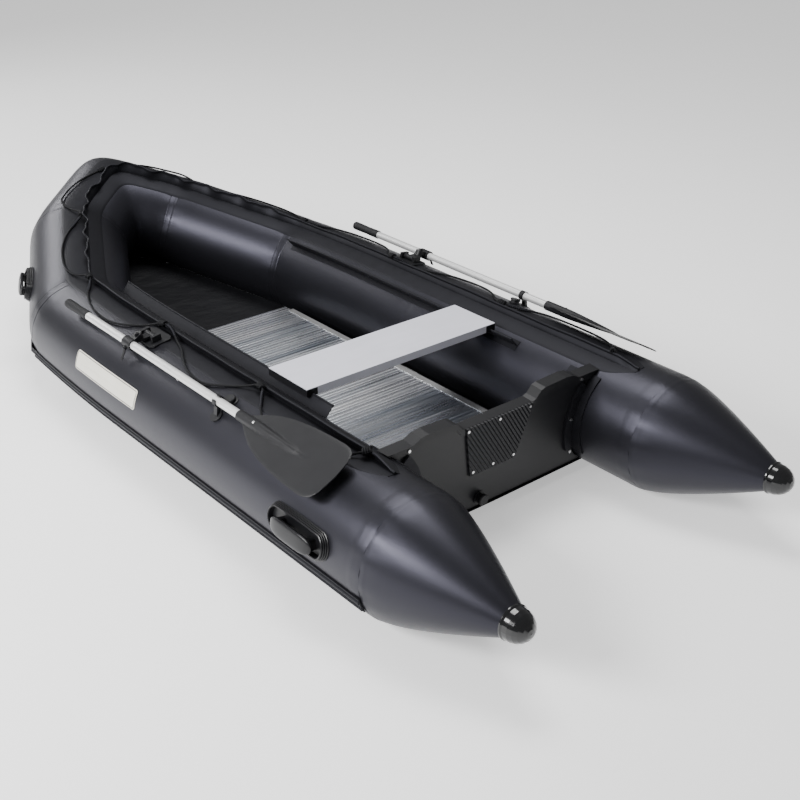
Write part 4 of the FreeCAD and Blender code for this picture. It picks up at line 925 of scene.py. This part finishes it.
def floor_rings(low, high, slats):
    """Slatted panel: its section along the boat has a deep groove between slats and two fine ones
    on every slat, z = top - depth exp(-(distance / width)^2), carried straight across."""
    gap = 0.0006
    y = np.linspace(low.y + gap, high.y - gap, slats * 36 + 1)
    pitch = (high.y - low.y) / slats
    phase = ((y - low.y) / pitch) % 1
    near = np.minimum(phase, 1 - phase) * pitch
    groove = 0.0042 * np.exp(-((near / 0.0028) ** 2))
    ribs = 3
    rib = (phase * ribs) % 1
    fine = 0.0012 * np.exp(-((np.minimum(rib, 1 - rib) * pitch / ribs / 0.0018) ** 2))
    top = high.z - groove - fine
    x = np.array([low.x, high.x])
    section = np.concatenate([np.stack([y, top], -1), [[high.y, low.z], [low.y, low.z]]])
    return np.stack([np.c_[np.full(len(section), at), section] for at in x])


def make_floor():
    """The three slatted panels, each in its CAD panel's box."""
    for place in ("aft", "middle", "forward"):
        node = f"floor_panel_{place}"
        low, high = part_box(node)
        slats = lofted(node, floor_rings(low, high, SLATS), 25.0)
        piece(f"floor_slats_{place}", slats, FLOOR_METAL, stands_for=[node])


make_floor()

# ---- oars ----


FORWARD = np.array([0.0, 1.0, 0.0])


def turned_along_y(name, centre, stations, radii, around=48):
    """A solid of revolution about a line along Y: ring i has its radius at its own y."""
    turn = full_turn(around)
    ring = np.stack([np.cos(turn), 0 * turn, np.sin(turn)], axis=-1)
    middle = np.array([centre.x, 0.0, centre.z]) + FORWARD * np.asarray(stations)[:, None]
    return lofted(name, middle[:, None] + ring[None] * np.asarray(radii)[:, None, None], 40.0)


def make_grips():
    """Grip: r = 17 mm with rings every 11.5 mm, a bead at its root, a waist and a round end."""
    pitch, rim = 0.0115, 0.0132
    for side in SIDES:
        low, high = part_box(f"oar_grip_{side}")
        centre, length = (low + high) / 2, high.y - low.y
        y = np.linspace(0, length, 150)
        radius = 0.0170 + 0.0006 * np.cos(y * 2 * np.pi / pitch)
        bead = 0.0012 * np.exp(-(((y - 0.012) / 0.006) ** 2))
        waist = 0.0010 * np.exp(-(((y - 0.075) / 0.03) ** 2))
        ends = np.sqrt(np.clip(1 - np.clip((y - length + 0.013) / rim, 0, 1) ** 2, 0.0, 1))
        radius = (radius + bead - waist) * ends * np.clip(0.86 + y / 0.01, 0.86, 1)
        radius = np.minimum(radius, 0.0175)
        mesh = turned_along_y("grip", centre, low.y + y, np.maximum(radius, 0.0004))
        node = f"oar_grip_{side}"
        piece(f"ribbed_grip_{side}", mesh, GRIP_RUBBER, f"oar_{side}", [node])


make_grips()

BLADE_LINE = [  # distance from the transom, half width
    (0.434, 0.0185), (0.400, 0.0186), (0.386, 0.024), (0.350, 0.046), (0.300, 0.068),
    (0.240, 0.084), (0.160, 0.096), (0.080, 0.102), (0.010, 0.104), (-0.018, 0.100),
    (-0.036, 0.090), (-0.048, 0.072), (-0.055, 0.045), (-0.058, 0.004),
]
BLADE_TURN = math.radians(29)
SOCKET = 0.0186


def oar_frame(side):
    """The oar's axis at the transom's station, outboard across it and up off the blade."""
    low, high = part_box(f"oar_stem_{side}")
    sine, cosine, sign = math.sin(BLADE_TURN), math.cos(BLADE_TURN), SIDES[side]
    axis = np.array([(low.x + high.x) / 2, STATION, (low.z + high.z) / 2])
    return axis, np.array([sign * cosine, 0.0, -sine]), np.array([sign * sine, 0.0, cosine])


def blade_sections():
    """Stations along the blade, and its section at each: the half thickness is the larger of the
    sheet's, which thins to a rounded edge, and the socket's circle, whose radius runs out half
    way down the blade. The sheet is dished by -4 mm (x / 100 mm)^2."""
    line = np.array(BLADE_LINE)[::-1]
    tip, root = line[0, 0], line[-1, 0]
    y = np.unique(np.concatenate([np.linspace(tip, root, 90), np.linspace(tip, -0.03, 16)]))
    width = np.interp(y, line[:, 0], line[:, 1])
    kernel = np.array([1.0, 2.0, 1.0]) / 4
    width[1:-1] = np.convolve(width, kernel, "valid")
    socket = SOCKET * np.clip((y - 0.07) / 0.25, 0, 1) ** 0.6
    part = np.sin(np.linspace(-np.pi / 2, np.pi / 2, 45))
    x = width[:, None] * part
    sheet = (0.0026 - 0.0008 * np.abs(part)) * np.sqrt(np.clip((1 - np.abs(part)) * 9, 0, 1))
    half = np.maximum(sheet[None], np.sqrt(np.clip(socket[:, None] ** 2 - x**2, 0, None)))
    dish = -0.004 * (x / 0.1) ** 2 * np.clip((0.3 - y) / 0.2, 0, 1)[:, None]
    above = np.stack([x, half + dish], axis=-1)
    below = np.stack([x, dish - half], axis=-1)
    return y, np.concatenate([above, below[:, -2:0:-1]], axis=1)


RIVET = np.array([(0.0, 0.0052), (0.0012, 0.0050), (0.0022, 0.0036), (0.0026, 0.0016)])
RIVET_AT, RIVET_SEAT = 0.345, 0.0178  # from the transom, and above the oar's axis


def make_blades():
    """Each oar's blade, and the domed rivet in its socket, turned from (height, radius) pairs."""
    y, section = blade_sections()
    turn = full_turn(24)
    for side in SIDES:
        axis, across, up = oar_frame(side)
        body = f"oar_{side}"
        origin = axis + FORWARD * y[:, None]
        rings = origin[:, None] + across * section[..., :1] + up * section[..., 1:]
        blade = lofted("paddle", rings, 55.0)
        piece(
            f"paddle_{side}", blade, BLADE_PLASTIC, body, [f"oar_blade_{side}"]
        )
        flat = across * np.cos(turn)[:, None] + FORWARD * np.sin(turn)[:, None]
        centre = axis + FORWARD * RIVET_AT + up * (RIVET_SEAT + RIVET[:, :1])
        rivet = lofted("rivet", centre[:, None] + flat[None] * RIVET[:, 1:, None], 50.0)
        piece(f"blade_rivet_{side}", rivet, SCREW_METAL, body)


make_blades()

# ---- handles and plates ----


def patch(run, at, angle, rings, side):
    """Points of a piece bent to the tube: each ring is (along, down, height) about a spot."""
    along, down, height = (np.asarray(v) for v in zip(*rings))
    height = height[:, None] if height.ndim == 1 else height
    return placed(run.at(at + along, math.radians(angle) + down / TUBE, height), side)


def stadium(half_length, half_width, count=72):
    """Outline of two half circles joined by straight sides: (along, down)."""
    turn = full_turn(count)
    straight = (half_length - half_width) * np.clip(np.cos(turn) * 3, -1, 1)
    return straight + half_width * np.cos(turn), half_width * np.sin(turn)


HANDLE_STEPS = (  # inset from the base's outline, height off the fabric
    (0.0, -0.0010), (0.0, 0.0030), (0.003, 0.0042), (0.0035, 0.0090), (0.006, 0.0098),
    (0.0065, 0.0145), (0.009, 0.0153), (0.0095, 0.0205), (0.0125, 0.0222), (0.0155, 0.0210),
    (0.0170, 0.0140), (0.019, 0.0050),
)
LEG_LEVELS = (0.003, 0.010, 0.020, 0.034)
PLATE_LEVEL, PLATE_HALF, PLATE_DROP = 0.0375, 0.0085, 0.006
HANDLE_DOWN = 0.006  # the plate and legs sit this far down from the base's middle


def handle(run, at, angle, length, width, side):
    """Grab handle of that half length and half width, at a distance along the run and an angle:
    a stepped base, and a thick plate with drawn-out ends on two short legs. The
    plate's ends are narrower by sqrt(1 - (a / reach)^5), and its section is a squared circle."""
    base = [
        (*stadium(length - inset, width - inset), height) for inset, height in HANDLE_STEPS
    ]
    base.append((*stadium(length - 0.030, width - 0.026), 0.0040))
    meshes = [lofted("base", patch(run, at, angle, base, side), 32.0)]
    reach, half = length * 0.70, width * 0.50
    a = (np.sin(np.linspace(-np.pi / 2, np.pi / 2, 41)) * reach)[:, None]
    full = np.sqrt(np.clip(1 - (np.abs(a) / reach) ** 5, 0.0004, 1))
    turn = full_turn(32)
    round_x, round_z = (np.sign(v) * np.abs(v) ** 0.5 for v in (np.cos(turn), np.sin(turn)))
    down = half * full * round_x + HANDLE_DOWN
    height = PLATE_LEVEL + PLATE_HALF * full * round_z - PLATE_DROP * (np.abs(a) / reach) ** 3
    plate = run.at(at + a + 0 * down, math.radians(angle) + down / TUBE, height)
    meshes.append(lofted("plate", placed(plate, side), 40.0))
    for end in (-1, 1):
        along, across = end * length * 0.50 + 0.012 * round_x, 0.75 * half * round_z + HANDLE_DOWN
        leg = [(along, across, level) for level in LEG_LEVELS]
        meshes.append(lofted("leg", patch(run, at, angle, leg, side), 40.0))
    return meshes


def make_handles():
    """Two handles a side: beside the transom, and on the shoulder of the bow."""
    meshes = []
    for side in SIDES:
        meshes += handle(SIDE, at=0.0075, angle=80, length=0.145, width=0.050, side=side)
        meshes += handle(BOW, at=BOW.span * 0.4, angle=74, length=0.095, width=0.042, side=side)
    whole = joined("handles", meshes)
    piece("grab_handles", whole, HANDLE_PLASTIC, stands_for=["carry_handles"])


BADGE = (0.220, 0.0367, 0.012)  # half length, half width, corner
BADGE_AT, BADGE_ANGLE = 1.205, 70
FILM_STEPS = ((0, -0.0004), (0, 0.0010), (0.001, 0.0015), (0.012, 0.0016), (0.034, 0.0016))
LINE_STEPS = ((0.0040, 0.0012), (0.0040, 0.0020), (0.0062, 0.0020), (0.0062, 0.0012))


def badge_outline(inset, count=96):
    """Outline of the badge, a rectangle with round corners, drawn in by an inset: (along, down)."""
    half_length, half_width, corner = (size - inset for size in BADGE)
    corner = max(corner, 0.002)
    turn = full_turn(count)
    x, y = np.cos(turn), np.sin(turn)
    along = (half_length - corner) * np.clip(x * 5, -1, 1) + corner * x
    return along, (half_width - corner) * np.clip(y * 5, -1, 1) + corner * y


def make_side_plates():
    """Blank badge: a thin film with round corners, and a dark line a little inside its edge."""

    def bent(steps, side):
        """Badge outlines, one for each (inset, height), bent to the side tube."""
        rings = [(*badge_outline(inset), height) for inset, height in steps]
        return patch(SIDE, BADGE_AT, BADGE_ANGLE, rings, side)

    films = [lofted("film", bent(FILM_STEPS, side), 40.0) for side in SIDES]
    lines = [lofted("line", bent(LINE_STEPS, side), 40.0, wrap=True) for side in SIDES]
    piece("badge_films", joined("films", films), CREAM, stands_for=["side_plates"])
    piece("badge_lines", joined("lines", lines), BLACK_PLASTIC)


make_handles()
make_side_plates()

# ---- finishes of the CAD pieces ----

KEPT = {
    "stern_cone_caps": GLOSS_PLASTIC, "seat_rails": STRIP, "rub_strake": STRIP,
    "bottom_skin": UNDER, "keel_tube": FABRIC, "floor_stringers": RAIL_METAL,
    "transom_board": BOARD, "transom_cap": BLACK_PLASTIC, "transom_holders": STRIP,
    "motor_plate_outer": PLATE, "motor_plate_inner": PLATE, "motor_plate_screws": SCREW_METAL,
    "transom_screws": SCREW_METAL, "drain_sleeve": BLACK_PLASTIC, "drain_bung": BLACK_PLASTIC,
    "bench_plank": BENCH_METAL, "bench_end_blocks": BLACK_PLASTIC, "oar_loom": SHAFT_METAL,
    "oar_stem": SHAFT_METAL, "oar_button": SCREW_METAL, "rowlock_block": BLACK_PLASTIC,
    "rowlock_arm": BLACK_PLASTIC, "oar_collar": BLACK_PLASTIC, "collar_screw": BLACK_PLASTIC,
    "oar_clip": BLACK_PLASTIC, "air_valves": BLACK_PLASTIC, "valve_cap": BLACK_PLASTIC,
}


def finish_kept_pieces():
    """Give every CAD piece that still shows its own finish."""
    for node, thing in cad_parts.items():
        stem = node.removesuffix("_starboard").removesuffix("_port")
        if stem in KEPT:
            for holder in thing.material_slots:
                holder.material = KEPT[stem]


finish_kept_pieces()

# ---- studio ----


def make_stage():
    """A wide pale floor, a little under the boat, with a faint glow of its own."""
    half, step, below = 60.0, 5.0, 0.001
    line = np.arange(-half, half + step / 2, step)
    x, y = np.meshgrid(line, line)
    points = np.stack([x, y, 0 * x - below], axis=-1).reshape(-1, 3)
    index = np.arange(len(points)).reshape(x.shape)
    faces = np.stack([index[:-1, :-1], index[:-1, 1:], index[1:, 1:], index[1:, :-1]], axis=-1)
    mesh = bpy.data.meshes.new("floor")
    mesh.from_pydata(points.tolist(), [], faces.reshape(-1, 4).tolist())
    look = Finish("studio_floor", Roughness=0.9, Specular_IOR_Level=0.1, Emission_Strength=0.52)
    look.shader.inputs["Emission Color"].default_value = (1.0, 1.0, 1.0, 1.0)
    look.colour(look.mix(look.noise(0.6), grey(0.93), grey(0.97)))
    mesh.materials.append(look.material)
    floor = bpy.data.objects.new("studio_floor", mesh)
    bpy.context.scene.collection.objects.link(floor)


def make_lamp(name, place, target, width, height, watts):
    """A soft rectangular lamp that faces a point."""
    data = bpy.data.lights.new(name, "AREA")
    data.shape, data.size, data.size_y, data.energy = "RECTANGLE", width, height, watts
    lamp = bpy.data.objects.new(name, data)
    lamp.location = place
    lamp.rotation_euler = (Vector(target) - Vector(place)).to_track_quat("-Z", "Y").to_euler()
    bpy.context.scene.collection.objects.link(lamp)


def make_light():
    """Plain white surroundings and three soft lamps."""
    world = bpy.data.worlds.new("studio")
    world.use_nodes = True
    world.node_tree.nodes["Background"].inputs["Color"].default_value = (1.0, 1.0, 1.0, 1.0)
    world.node_tree.nodes["Background"].inputs["Strength"].default_value = 0.32
    bpy.context.scene.world = world
    make_lamp("port_key", (-4.6, 0.0, 3.1), (0, 0, 0.2), 3.4, 1.5, 400)
    make_lamp("overhead", (0.6, 0.8, 5.0), (0, 0, 0.2), 2.6, 2.2, 200)
    make_lamp("bow_side", (-1.0, 6.0, 3.0), (0, 0, 0.3), 3.0, 1.2, 120)


make_stage()
make_light()
